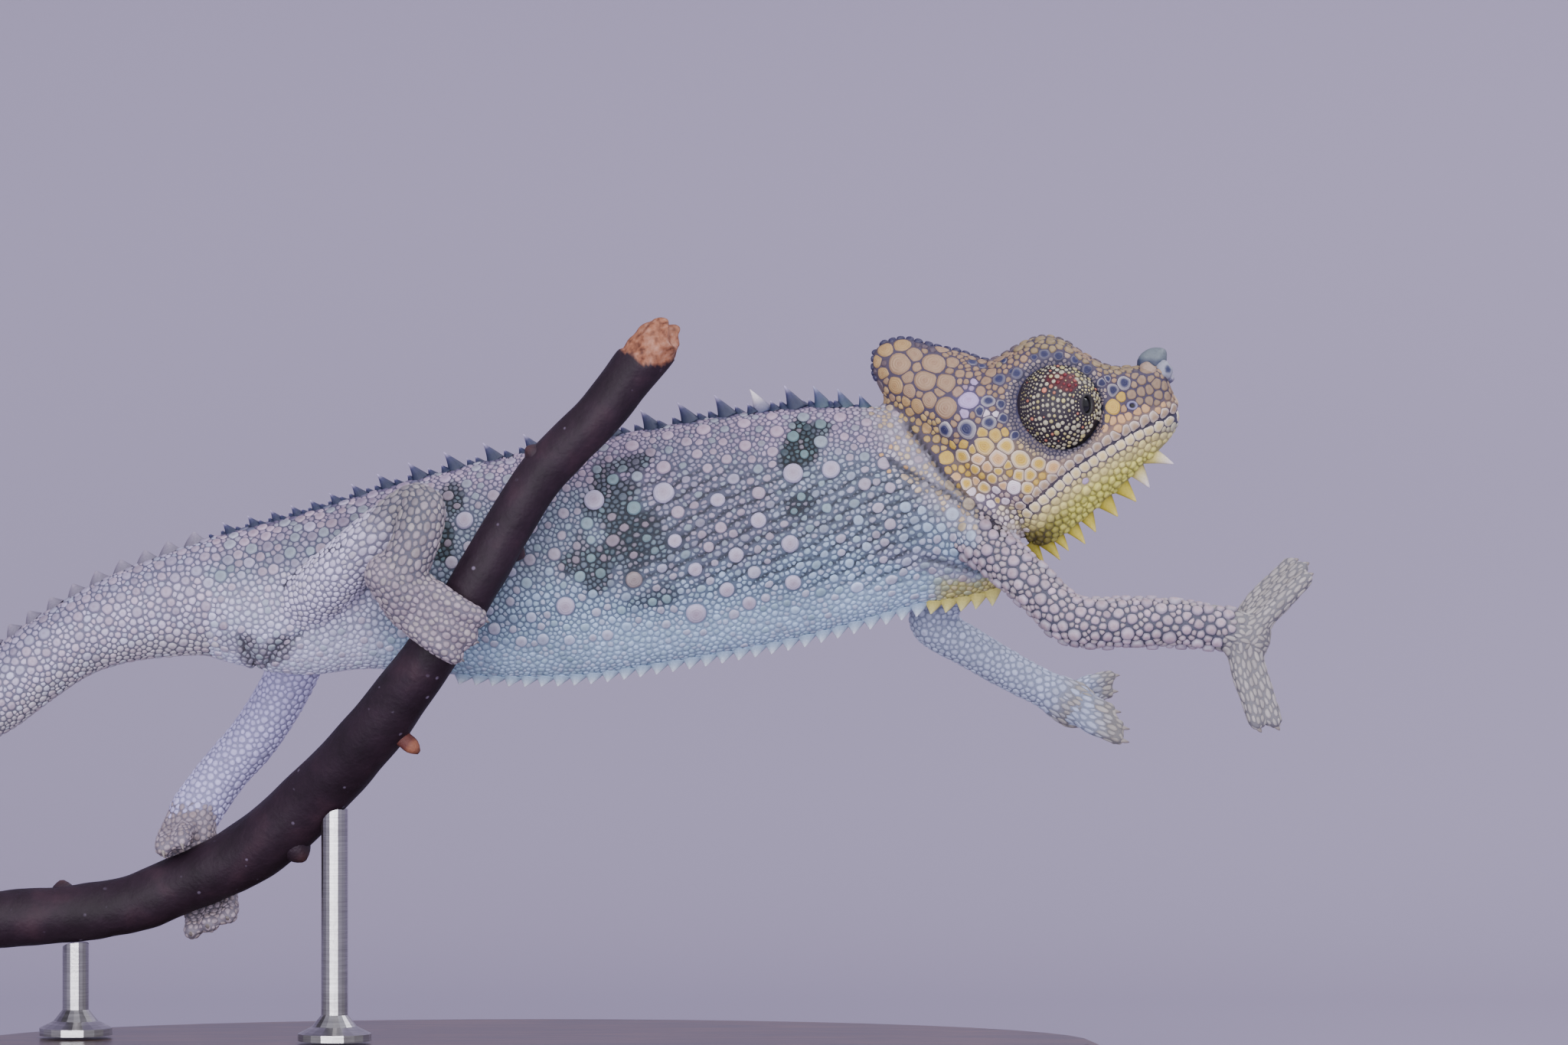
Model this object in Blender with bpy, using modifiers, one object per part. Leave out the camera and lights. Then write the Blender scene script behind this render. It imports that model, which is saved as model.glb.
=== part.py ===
# A helmeted chameleon on a cut branch, life size, on a small museum stand.
# The animal looks along +X, its right side faces -Y, and the underside of the
# stand's base is at Z = 0 with its centre at the origin.
import bpy
import bmesh
import numpy as np
from math import atan2, cos, pi, radians, sin
from mathutils import Vector
from mathutils.bvhtree import BVHTree

mm = 0.001
GAP = 0.3
# How far cutting blocks reach to either side, well past the animal.
BLOCK_REACH = 20.0
UP = np.array((0.0, 0.0, 1.0))
SIDE = np.array((0.0, 1.0, 0.0))

# Sizes below are in millimetres.
BASE_LENGTH = 112.0
BASE_WIDTH = 62.0
BASE_THICKNESS = 7.0
ROD_RADIUS = 1.3
FLANGE_RADIUS = 3.6
FLANGE_HEIGHT = 1.4
ROD_X = (-45.0, -19.0)

SKIN_COLOUR = (0.42, 0.47, 0.55)
HEAD_COLOUR = (0.62, 0.50, 0.22)
LIMB_COLOUR = (0.45, 0.46, 0.42)
TURRET_COLOUR = (0.30, 0.29, 0.24)
BARK_COLOUR = (0.07, 0.03, 0.045)
WOOD_COLOUR = (0.16, 0.09, 0.05)
STEEL_COLOUR = (0.62, 0.62, 0.64)

# The trunk, from the vent forward to the throat: x, back, belly, half width.
TRUNK = (
    (-31.0, 56.6, 44.3, 4.1),
    (-27.5, 57.6, 43.4, 4.6),
    (-22.0, 59.0, 42.7, 5.3),
    (-16.0, 60.9, 43.3, 5.6),
    (-9.0, 62.9, 42.8, 5.7),
    (-2.0, 64.6, 42.5, 6.0),
    (5.0, 66.0, 42.7, 6.2),
    (12.0, 67.3, 43.7, 6.2),
    (19.0, 68.5, 44.9, 6.0),
    (26.0, 69.3, 46.3, 5.8),
    (32.0, 69.4, 47.9, 5.6),
    (38.0, 68.8, 49.6, 5.3),
    (43.0, 67.0, 50.4, 4.9),
    (46.0, 64.5, 51.4, 4.2),
    (48.0, 62.0, 53.6, 3.0),
)
PELVIS_X = -12.6
CHEST_X = 24.2
# The fold where the neck starts, from above the nape down to the throat, in side view.
NECK_FOLD = ((29.62, 85.0), (29.62, 66.4), (36.3, 62.7), (47.2, 55.3), (62.0, 45.2))

# Crest scales, from the nape back, on the belly from the throat back, and under the
# jaw from the chin back: x, spacing to the next, height.
BACK_CREST = (
    (32.6, 1.9, 1.0), (30.0, 2.3, 1.6), (25.6, 3.3, 2.0), (14.8, 3.7, 1.8), (0.0, 3.9, 1.55),
    (-9.0, 3.4, 1.6), (-14.6, 2.6, 1.3), (-20.0, 1.9, 0.9), (-26.0, 2.3, 0.9), (-33.0, 3.0, 1.0),
    (-44.0, 2.6, 0.95), (-52.0, 2.3, 0.9),
)
BELLY_CREST = (
    (45.2, 1.4, 1.2), (39.0, 1.5, 0.9), (30.0, 1.6, 0.8), (0.0, 1.6, 0.7), (-26.0, 1.7, 0.4),
)
GULAR_CREST = (
    (61.9, 1.7, 2.1), (58.0, 1.7, 2.3), (54.0, 1.4, 1.9), (50.0, 1.2, 1.2), (47.6, 1.2, 0.8),
)
GULAR_LEAN = -64.0
# The same along the tail, at its root and at its tip.
TAIL_CREST_SPACING = (2.6, 1.4)
TAIL_CREST_HEIGHT = (0.95, 0.35)

# The tail: centre x and z, half height, half width, then its headings.
TAIL_BASE = (
    (-30.2, 50.55, 6.2, 4.2),
    (-33.6, 50.0, 5.5, 3.9),
    (-39.7, 48.5, 4.6, 3.7),
    (-44.4, 46.5, 4.0, 3.5),
    (-48.2, 44.1, 3.95, 3.35),
    (-52.0, 41.2, 3.9, 3.3),
)
TAIL_HEADING = (
    (0, 215), (12, 203), (22, 208), (32, 245), (44, 325), (56, 430), (68, 570), (78, 720),
)
TAIL_TIP_RADIUS = 0.5
TAIL_STEP = 2.5
TAIL_CUTS = (-8.0, 10.0, 24.0, 35.0, 45.0, 54.0, 62.0)
TAIL_DRIFT = 2.5

# The head, from the back of the casque to the snout: x, then top, crest width and
# height, cheek width and height, lip width and height, jaw width and height, bottom.
HEAD = (
    (33.3, 74.6, 0.5, 74.2, 0.8, 73.5, 0.7, 72.8, 0.4, 72.4, 72.2),
    (34.3, 75.6, 0.9, 75.0, 1.5, 73.4, 1.4, 71.9, 0.8, 70.7, 70.2),
    (36.5, 76.1, 1.5, 75.0, 2.8, 72.2, 2.8, 70.0, 2.0, 68.4, 67.4),
    (39.5, 75.4, 2.1, 74.2, 4.2, 70.8, 4.4, 68.0, 3.2, 66.0, 64.9),
    (42.5, 74.7, 2.8, 73.4, 5.2, 69.6, 5.5, 66.0, 4.4, 62.8, 61.2),
    (45.0, 73.9, 3.5, 73.0, 5.6, 69.5, 6.0, 65.0, 4.9, 61.0, 58.8),
    (47.5, 75.2, 4.1, 74.3, 5.3, 69.7, 6.0, 64.3, 4.7, 59.6, 56.9),
    (49.8, 76.2, 4.4, 75.0, 4.9, 70.0, 5.6, 64.2, 4.2, 58.6, 55.2),
    (52.0, 75.9, 4.4, 74.8, 4.6, 70.0, 5.2, 64.8, 3.8, 59.4, 56.2),
    (54.4, 74.4, 4.1, 73.5, 4.4, 69.6, 4.8, 65.7, 3.5, 61.0, 58.0),
    (56.5, 73.3, 3.6, 72.6, 4.0, 69.6, 4.3, 66.5, 3.2, 62.4, 59.8),
    (58.5, 73.2, 3.2, 72.4, 3.6, 69.8, 3.8, 67.2, 2.8, 63.9, 61.6),
    (60.3, 73.5, 2.7, 72.6, 3.1, 70.3, 3.3, 67.9, 2.4, 65.4, 63.4),
    (62.0, 73.2, 2.0, 72.2, 2.5, 70.4, 2.6, 68.4, 1.8, 66.6, 65.0),
    (63.1, 70.5, 1.2, 70.1, 1.6, 69.6, 1.7, 68.6, 1.1, 67.4, 66.3),
    (63.7, 69.6, 0.5, 69.4, 0.7, 69.0, 0.7, 68.5, 0.5, 67.9, 67.5),
)
# The line of the closed mouth, from the snout back to its corner, then the jaw's
# rear edge down to the throat.
MOUTH_LINE = (
    (66.0, 69.9), (63.5, 68.7), (59.2, 66.7), (56.8, 65.4), (54.4, 63.9), (52.0, 62.2),
    (49.8, 60.3), (48.1, 58.9), (46.9, 57.6), (46.0, 54.0), (46.0, 50.0), (66.0, 50.0),
)

LIP_RISE = 0.62
LIP_RADIUS = 0.45
NOSTRIL = (58.9, 3.75, 69.3)
NOSTRIL_RADIUS = 0.55
# Round scales on the snout's tip: centre and radius.
SNOUT_KNOBS = (
    (60.9, 0.0, 73.6, 1.5), (62.1, 0.7, 72.6, 1.0), (62.1, -0.7, 72.6, 1.0),
    (59.5, 1.2, 73.1, 0.9), (59.5, -1.2, 73.1, 0.9), (62.2, 0.0, 71.5, 0.7),
)

EYE_CENTRE = (51.3, 3.0, 69.0)
EYE_RADIUS = 4.4
EYE_FORWARD = 44.0
EYE_LIFT = 3.0
SEPTUM = 0.5
PUPIL_HOLE = 1.2
PUPIL_RADIUS = 0.85

# The branch: x, y, z, radius, from its lower cut end to its upper one.
BRANCH = (
    (-57.0, 4.0, 18.4, 2.9),
    (-52.0, 4.0, 18.7, 2.9),
    (-40.9, 4.0, 19.9, 2.9),
    (-33.9, 3.4, 22.4, 3.0),
    (-27.0, 1.6, 25.9, 3.3),
    (-21.3, -1.6, 30.9, 3.2),
    (-15.5, -6.6, 37.0, 3.0),
    (-10.2, -10.6, 43.8, 2.75),
    (-5.5, -12.0, 50.9, 2.5),
    (-1.3, -12.5, 58.2, 2.4),
    (0.5, -12.7, 61.1, 2.4),
    (3.7, -13.0, 64.8, 2.45),
    (7.1, -13.4, 68.2, 2.4),
    (9.3, -13.7, 71.0, 2.45),
    (11.6, -14.05, 73.8, 2.55),
    (12.9, -14.3, 75.5, 2.4),
    (13.8, -14.5, 76.6, 2.0),
    (14.4, -14.6, 77.3, 1.6),
)
TWIG_X = -14.2
TWIG_LEAN = (0.75, -0.2, -0.62)
TWIG_RADIUS = 0.85
TWIG_LENGTH = 1.9
BUDS = ((-24.4, 250, 0.9), (2.2, 110, 0.55), (-2.6, 290, 0.5), (-46.0, 80, 0.5))

# Limbs, as centre, half width across and half depth at each of their key points.
LIMBS = {
    "arm_right": (
        ((42.5, -2.6, 57.5), 2.6, 2.6), ((45.6, -6.0, 54.7), 2.3, 2.55), ((49.0, -8.4, 51.6), 2.15, 2.35),
        ((52.7, -9.6, 48.4), 2.4, 2.5), ((57.5, -9.9, 48.2), 2.5, 2.5), ((62.5, -9.6, 48.1), 2.35, 2.4),
        ((67.2, -9.2, 47.6), 2.2, 2.2),
    ),
    "arm_left": (
        ((42.5, 2.6, 57.5), 2.6, 2.6), ((43.0, 6.4, 54.2), 2.3, 2.5), ((41.0, 9.2, 50.6), 2.1, 2.3),
        ((39.3, 10.4, 48.0), 2.1, 2.3), ((43.4, 11.0, 45.3), 2.1, 2.2), ((47.5, 11.6, 42.9), 2.0, 2.1),
        ((51.4, 12.0, 40.9), 2.0, 2.0),
    ),
    "leg_right": (
        ((-23.0, -1.6, 49.5), 3.2, 3.4), ((-20.0, -5.2, 51.5), 2.9, 3.1),
        ((-15.2, -9.2, 55.8), 2.6, 2.8), ((-10.2, -12.4, 59.4), 2.35, 2.5),
        ((-10.4, -14.4, 56.4), 2.3, 2.5), ((-11.5, -14.8, 53.8), 2.2, 2.5),
        ((-12.4, -14.8, 51.9), 2.3, 2.7),
    ),
    "leg_left": (
        ((-22.0, 2.0, 50.0), 3.2, 3.2), ((-22.6, 5.0, 46.6), 2.9, 3.0), ((-24.2, 7.0, 42.2), 2.55, 2.75),
        ((-27.6, 8.2, 36.7), 2.5, 2.7), ((-30.3, 8.4, 33.6), 2.4, 2.65), ((-32.3, 8.3, 31.0), 2.4, 2.7),
        ((-33.6, 7.9, 29.0), 2.5, 2.8),
    ),
}


# Feet that hold the branch: where along it by x, the direction from its axis to the
# sole, then for each bundle its number of toes, the angles where the toes start and end
# round the branch, their offset along it, and the radius of a toe.
GRIPS = {
    "foot_right": {
        "ankle": (-12.4, -14.8, 51.9), "at": -7.1, "sole": (-0.72, -0.52, 0.42),
        "sole_size": (3.2, 2.1), "bundles": ((3, 16, 90, 0.0, 1.35), (2, -20, -116, 0.0, 1.1)),
    },
    "foot_left": {
        "ankle": (-33.6, 7.9, 29.0), "at": -33.2, "sole": (-0.1, 0.55, 0.83),
        "sole_size": (3.2, 1.9), "bundles": ((2, 12, 68, 0.0, 1.25), (3, -14, -144, -0.5, 1.25)),
    },
}
# Hands that reach into the air: the wrist, the palm, then for each bundle its number of
# toes, the knuckle, the tip, the direction in which its toes lie side by side, and the
# radius of a toe.
REACHES = {
    "hand_right": {
        "wrist": (67.2, -9.2, 47.6), "palm": (68.9, -8.9, 46.9),
        "bundles": (
            (3, (71.2, -7.4, 49.6), (75.0, -5.6, 53.3), (-0.30, 0.88, 0.36), 1.2),
            (2, (69.7, -9.9, 43.4), (71.3, -10.6, 38.4), (0.95, 0.25, 0.10), 1.15),
        ),
    },
    "hand_left": {
        "wrist": (51.4, 12.0, 40.9), "palm": (53.0, 12.2, 40.0),
        "bundles": (
            (2, (54.8, 14.4, 40.9), (57.6, 16.6, 41.6), (0.10, 0.10, 0.98), 1.0),
            (3, (54.9, 10.6, 38.9), (58.0, 9.4, 37.6), (-0.25, 0.35, 0.90), 1.0),
        ),
    },
}
TOE_SPACING = 1.6
CLAW_LENGTH = 1.3
CLAW_RADIUS = 0.42


def smooth(keys, at):
    """Reads a smooth curve through keys, whose first column is the place along it."""
    keys = np.array(keys, float)
    place, value = keys[:, 0], keys[:, 1:]
    slope = np.zeros_like(value)
    slope[1:-1] = (value[2:] - value[:-2]) / (place[2:] - place[:-2])[:, None]
    slope[0] = (value[1] - value[0]) / (place[1] - place[0])
    slope[-1] = (value[-1] - value[-2]) / (place[-1] - place[-2])
    at = np.asarray(at, float)
    i = np.clip(np.searchsorted(place, at, side="right") - 1, 0, len(place) - 2)
    span = (place[i + 1] - place[i])[:, None]
    t = ((at - place[i]) / (place[i + 1] - place[i]))[:, None]
    rise = t * t * (3 - 2 * t)
    start = value[i] * (1 - rise) + slope[i] * span * (t ** 3 - 2 * t * t + t)
    return start + value[i + 1] * rise + slope[i + 1] * span * (t ** 3 - t * t)


def unit(v):
    return v / np.linalg.norm(v, axis=-1, keepdims=True)


def along(points, *columns):
    """Puts the distance along a chain of points in front of them, with more columns."""
    points = np.array(points, float)
    steps = np.linalg.norm(np.diff(points, axis=0), axis=1)
    place = np.concatenate([[0.0], np.cumsum(steps)])
    extra = [np.array(c, float).reshape(len(points), -1) for c in columns]
    return np.hstack([place[:, None], points, *extra])


def new_object(name, mesh, colour, roughness=0.6, metallic=0.0):
    obj = bpy.data.objects.new(name, mesh)
    model.objects.link(obj)
    material = bpy.data.materials.new(name)
    material.use_nodes = True
    shader = material.node_tree.nodes["Principled BSDF"]
    shader.inputs["Base Color"].default_value = (*colour, 1.0)
    shader.inputs["Roughness"].default_value = roughness
    shader.inputs["Metallic"].default_value = metallic
    mesh.materials.append(material)
    return obj


def loft(name, rings, colour, tip=None, **finish):
    """Skins a row of rings of points, in millimetres, and closes both ends, the last
    one in a point where tip gives it."""
    rings = [np.asarray(r, float) * mm for r in rings]
    end = rings[-1].mean(0) if tip is None else np.asarray(tip, float) * mm
    count = len(rings[0])
    shape = bmesh.new()
    rows = [[shape.verts.new(p) for p in ring] for ring in rings]
    for one, two in zip(rows, rows[1:]):
        for k in range(count):
            n = (k + 1) % count
            shape.faces.new((one[k], one[n], two[n], two[k]))
    for row, closing in ((rows[0][::-1], rings[0].mean(0)), (rows[-1], end)):
        middle = shape.verts.new(closing)
        for k in range(count):
            shape.faces.new((row[k], row[(k + 1) % count], middle))
    bmesh.ops.recalc_face_normals(shape, faces=shape.faces)
    mesh = bpy.data.meshes.new(name)
    shape.to_mesh(mesh)
    shape.free()
    mesh.shade_smooth()
    return new_object(name, mesh, colour, **finish)


def frames(centres, across):
    """Side and top directions at each centre, square to the path through them."""
    forward = unit(np.gradient(centres, axis=0))
    side = unit(across - forward * (forward @ across)[:, None])
    return forward, side, np.cross(forward, side)


def oval(centre, side, top, half_side, half_top, count, keel=1.0):
    """One ring: an ellipse, drawn in at the top and bottom where keel is over 1."""
    turn = np.arange(count) * 2 * pi / count
    u = np.sign(np.sin(turn)) * np.abs(np.sin(turn)) ** keel * half_side
    v = np.cos(turn) * half_top
    return centre + u[:, None] * side + v[:, None] * top


def tube(name, points, half_side, half_top, colour, count=12, step=1.5, across=SIDE,
         blunt=(True, True), **finish):
    """A tapered tube on a smooth path. A blunt end is rounded off, the other is flat."""
    keys = along(points, half_side, half_top)
    length = keys[-1, 0]
    row = smooth(keys, np.linspace(0.0, length, max(3, int(length / step) + 1)))
    forward, side, top = frames(row[:, :3], np.array(across, float))
    rings = [
        oval(c, s, t, a, b, count)
        for c, s, t, a, b in zip(row[:, :3], side, top, row[:, 3], row[:, 4])
    ]
    for at_end, rounded in ((0, blunt[0]), (-1, blunt[1])):
        if not rounded:
            continue
        away = forward[at_end] * (1 if at_end else -1)
        a, b = row[at_end, 3], row[at_end, 4]
        caps = [
            oval(row[at_end, :3] + away * min(a, b) * sin(w), side[at_end], top[at_end],
                 a * cos(w), b * cos(w), count)
            for w in (radians(38), radians(68))
        ]
        rings = rings + caps if at_end else caps[::-1] + rings
    return loft(name, rings, colour, **finish)


def copy_of(obj, name):
    twin = obj.copy()
    twin.data = obj.data.copy()
    twin.name = name
    helpers.objects.link(twin)
    return twin


def grown(obj, by):
    """A copy of obj whose surface stands out by that many millimetres, to cut with."""
    twin = copy_of(obj, obj.name + "_grown")
    shape = bmesh.new()
    shape.from_mesh(twin.data)
    shape.normal_update()
    moves = [(v, v.normal * by * mm * min(1.5, v.calc_shell_factor())) for v in shape.verts]
    for v, move in moves:
        v.co += move
    shape.to_mesh(twin.data)
    shape.free()
    return twin


def apply_modifiers(obj):
    graph = bpy.context.evaluated_depsgraph_get()
    mesh = bpy.data.meshes.new_from_object(obj.evaluated_get(graph))
    obj.modifiers.clear()
    obj.data = mesh


def keep_largest(obj):
    """Drops every loose scrap, so that the node is one closed surface."""
    shape = bmesh.new()
    shape.from_mesh(obj.data)
    left, islands = set(shape.verts), []
    while left:
        found, edge = set(), [left.pop()]
        while edge:
            v = edge.pop()
            found.add(v)
            for e in v.link_edges:
                other = e.other_vert(v)
                if other in left:
                    left.remove(other)
                    edge.append(other)
        islands.append(found)
    islands.sort(key=len)
    for island in islands[:-1]:
        bmesh.ops.delete(shape, geom=list(island), context="VERTS")
    shape.to_mesh(obj.data)
    shape.free()


def boolean(obj, others, operation):
    """Cuts or joins obj with a list of closed meshes, which are then removed. The EXACT
    solver leaves doubled edges where these small scales and toes meet."""
    group = bpy.data.collections.new("group")
    helpers.children.link(group)
    for other in others:
        for owner in list(other.users_collection):
            owner.objects.unlink(other)
        group.objects.link(other)
    step = obj.modifiers.new("join", "BOOLEAN")
    step.operand_type = "COLLECTION"
    step.collection = group
    step.operation = operation
    step.solver = "MANIFOLD"
    apply_modifiers(obj)
    for other in others:
        bpy.data.objects.remove(other)
    bpy.data.collections.remove(group)
    keep_largest(obj)
    return obj


def clear_of(obj, *neighbours):
    """Cuts obj back so that it meets each neighbour face to face, a gap away."""
    return boolean(obj, [grown(n, GAP) for n in neighbours], "DIFFERENCE")


def trunk_rings(start, end, step=2.8):
    x = np.linspace(start, end, max(3, int((end - start) / step) + 1))
    top, bottom, half = smooth(TRUNK, x).T
    return [
        oval(np.array((a, 0, (t + b) / 2)), SIDE, UP, w, (t - b) / 2, 22, keel=1.12)
        for a, t, b, w in zip(x, top, bottom, half)
    ]


def trunk():
    half = GAP / 2
    spans = (
        ("pelvis", TRUNK[0][0] + half, PELVIS_X - half),
        ("torso", PELVIS_X + half, CHEST_X - half),
        ("chest", CHEST_X + half, TRUNK[-1][0]),
    )
    nodes = {name: loft(name, trunk_rings(a, b), SKIN_COLOUR) for name, a, b in spans}
    front = copy_of(nodes["chest"], "front_block")
    nodes["neck"] = neck(nodes["chest"])
    for name, start, end in spans:
        scales = back_crest(start, min(end, NECK_FOLD[0][0])) + belly_crest(start, end)
        boolean(nodes[name], scales, "UNION")
    boolean(nodes["neck"], back_crest(NECK_FOLD[0][0], spans[-1][-1]), "UNION")
    return nodes, front


def neck(chest):
    """Parts the neck from the chest by two blocks that face each other along the fold."""
    other = copy_of(chest, "neck")
    helpers.objects.unlink(other)
    model.objects.link(other)
    fold = np.array(NECK_FOLD)
    ahead = unit(np.gradient(fold, axis=0))
    square = np.column_stack([-ahead[:, 1], ahead[:, 0]])
    for piece, away in ((chest, -1), (other, 1)):
        edge = fold + square * away * GAP / 2
        far = (edge[-1] + square[2] * away * 60, edge[0] + square[2] * away * 60)
        boolean(piece, [prism("neck_block", [*edge, *far])], "INTERSECT")
    return other


def cone_scale(root, lean, height, half_length, half_width, ahead):
    """A pointed crest scale: its root lies on the skin and is sunk well in."""
    root, lean = np.array(root, float), unit(np.array(lean, float))
    ahead = unit(np.array(ahead, float) - lean * (lean @ np.array(ahead, float)))
    side = np.cross(lean, ahead)
    rings = [
        oval(root + lean * level * height, side, ahead, half_width * w, half_length * w, 5)
        for level, w in ((-0.45, 0.85), (0.4, 0.6))
    ]
    return loft("crest_scale", rings, SKIN_COLOUR, tip=root + lean * height)


def crest_places(table, start, end):
    """The x and height of every scale of a crest between start and end."""
    keys = sorted(table)
    x, found = table[0][0], []
    while x > table[-1][0]:
        spacing, height = smooth(keys, [x])[0]
        if start + spacing * 0.3 < x < end - spacing * 0.3:
            found.append((x, height))
        x -= spacing
    return found


def back_crest(start, end):
    scales = []
    for x, height in crest_places(BACK_CREST, start, end):
        top = smooth(TRUNK, [x - 0.5, x, x + 0.5])[:, 0]
        slope = atan2(top[2] - top[0], 1.0)
        lean = (-sin(slope) - 0.28, 0, cos(slope))
        ahead = (cos(slope), 0, sin(slope))
        scales.append(cone_scale((x, 0, top[1] - 0.25), lean, height + 0.25, 0.5 * height + 0.25,
                                 0.45 * height + 0.15, ahead))
    return scales


def belly_crest(start, end):
    scales = []
    for x, height in crest_places(BELLY_CREST, start, end):
        bottom = smooth(TRUNK, [x - 0.5, x, x + 0.5])[:, 1]
        slope = atan2(bottom[2] - bottom[0], 1.0)
        lean = (sin(slope) - 0.15, 0, -cos(slope))
        scales.append(cone_scale((x, 0, bottom[1] + 0.3), lean, height + 0.3, 0.55, 0.5,
                                 (cos(slope), 0, sin(slope))))
    return scales


def gular_crest():
    scales = []
    lean = (cos(radians(GULAR_LEAN)), 0, sin(radians(GULAR_LEAN)))
    for x, height in crest_places(GULAR_CREST, -99, 99):
        bottom = smooth(HEAD, [x])[0][-1]
        scales.append(cone_scale((x - 0.2, 0, bottom + 0.3), lean, height + 0.3, 0.35 * height + 0.2,
                                 0.3 * height + 0.15, (0.7, 0, 0.7)))
    return scales


def tail_path():
    """Centres, half heights and half widths along the tail, and the place of each."""
    base = along([(x, 0, z) for x, z, _, _ in TAIL_BASE], [t[2] for t in TAIL_BASE],
                 [t[3] for t in TAIL_BASE])
    straight = base[-1, 0]
    first = smooth(base, np.linspace(0, straight, 10))[:-1]
    length = TAIL_HEADING[-1][0]
    fine = np.linspace(0, length, 400)
    heading = np.radians(smooth(TAIL_HEADING, fine)[:, 0])
    reach = np.concatenate([[0.0], np.cumsum(np.diff(fine))])
    x = base[-1, 1] + np.concatenate([[0], np.cumsum(np.cos(heading[:-1]) * np.diff(fine))])
    z = base[-1, 3] + np.concatenate([[0], np.cumsum(np.sin(heading[:-1]) * np.diff(fine))])
    share = reach / length
    taper = (1 - share) ** 0.9
    high = TAIL_TIP_RADIUS + (base[-1, 4] - TAIL_TIP_RADIUS) * taper
    wide = TAIL_TIP_RADIUS + (base[-1, 5] - TAIL_TIP_RADIUS) * taper
    y = TAIL_DRIFT * share ** 2
    curl = np.column_stack([x, y, z, high, wide])
    return first, np.column_stack([reach, curl])


def tail():
    first, curl = tail_path()
    nodes = {}
    base_end = curl[0, 1:]
    rows = np.vstack([first, base_end])
    reach = np.concatenate([[0.0], np.cumsum(np.linalg.norm(np.diff(rows[:, :3], axis=0), axis=1))])
    rows = np.column_stack([reach - reach[-1], rows])
    whole = np.vstack([rows[:-1], curl])
    cuts = (whole[0, 0], *TAIL_CUTS, whole[-1, 0])
    for k, (a, b) in enumerate(zip(cuts, cuts[1:])):
        start, end = a + GAP / 2, b - (GAP / 2 if k < len(cuts) - 2 else 0)
        places = np.linspace(start, end, max(4, int((end - start) / TAIL_STEP) + 1))
        row = smooth(whole, places)
        forward = unit(smooth(whole, places + 0.01)[:, :3] - smooth(whole, places - 0.01)[:, :3])
        side = unit(SIDE - forward * (forward @ SIDE)[:, None])
        top = np.cross(side, forward)
        rings = [
            oval(c, s, t, w, h, 12)
            for c, s, t, h, w in zip(row[:, :3], side, top, row[:, 3], row[:, 4])
        ]
        name = f"tail_{k + 1}"
        nodes[name] = loft(name, rings, SKIN_COLOUR)
        boolean(nodes[name], tail_crest(whole, start, end), "UNION")
    return nodes


def tail_crest(whole, start, end):
    """The crest goes on down the tail, smaller and closer towards the tip."""
    scales, place = [], whole[0, 0] + 2.0
    while place < whole[-1, 0] - 6.0:
        share = max(0.0, place / whole[-1, 0])
        spacing = TAIL_CREST_SPACING[0] * (1 - share) + TAIL_CREST_SPACING[1] * share
        height = TAIL_CREST_HEIGHT[0] * (1 - share) + TAIL_CREST_HEIGHT[1] * share
        if start + 0.7 < place < end - 0.7:
            row, after = smooth(whole, [place, place + 0.05])
            forward = unit(after[:3] - row[:3])
            up = np.cross(SIDE, forward)
            root = row[:3] + up * (row[3] - 0.2)
            scales.append(cone_scale(root, up + forward * 0.25, height + 0.2, 0.3 + 0.45 * height,
                                     0.2 + 0.4 * height, forward))
        place += spacing
    return scales


def head_rings():
    x = np.linspace(HEAD[0][0], HEAD[-1][0], 25)
    x = np.unique(np.concatenate([x, [HEAD[1][0], HEAD[-2][0]]]))
    rings = []
    for a, row in zip(x, smooth(HEAD, x)):
        top, cw, ch, mw, mh, lw, lh, jw, jh, bottom = row
        half = [(0, top), (cw, ch), (mw, mh), (lw, lh), (jw, jh), (0, bottom)]
        ring = [(y, z) for y, z in half] + [(-y, z) for y, z in half[-2:0:-1]]
        closed = ring[-2:] + ring + ring[:3]
        keys = along([(a, y, z) for y, z in closed])
        start, end = keys[2, 0], keys[2 + len(ring), 0]
        rings.append(smooth(keys, np.linspace(start, end, 20, endpoint=False)))
    return rings


def prism(name, outline):
    """A block right across the body with this side outline, to cut with."""
    rings = [[(x, y, z) for x, z in outline] for y in (-BLOCK_REACH, BLOCK_REACH)]
    return loft(name, rings, HEAD_COLOUR)


def head():
    whole = loft("head", head_rings(), HEAD_COLOUR)
    block = copy_of(whole, "head_block")
    jaw = copy_of(whole, "lower_jaw")
    helpers.objects.unlink(jaw)
    model.objects.link(jaw)
    boolean(jaw, [prism("jaw_block", MOUTH_LINE)], "INTERSECT")
    boolean(whole, [grown(jaw, GAP)], "DIFFERENCE")
    ridges = lips(block)
    boolean(jaw, gular_crest() + ridges[-1], "UNION")
    boolean(whole, snout_knobs() + ridges[1], "UNION")
    x, y, z = NOSTRIL
    pits = [ball("nostril", (x, sign * y, z), NOSTRIL_RADIUS, HEAD_COLOUR, 8, 6) for sign in (1, -1)]
    boolean(whole, pits, "DIFFERENCE")
    return {"head": whole, "lower_jaw": jaw}, block


def snout_knobs():
    """The short bump of big round scales on the tip of the snout."""
    return [ball("knob", (x, y, z), size, HEAD_COLOUR, 8, 6) for x, y, z, size in SNOUT_KNOBS]


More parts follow.
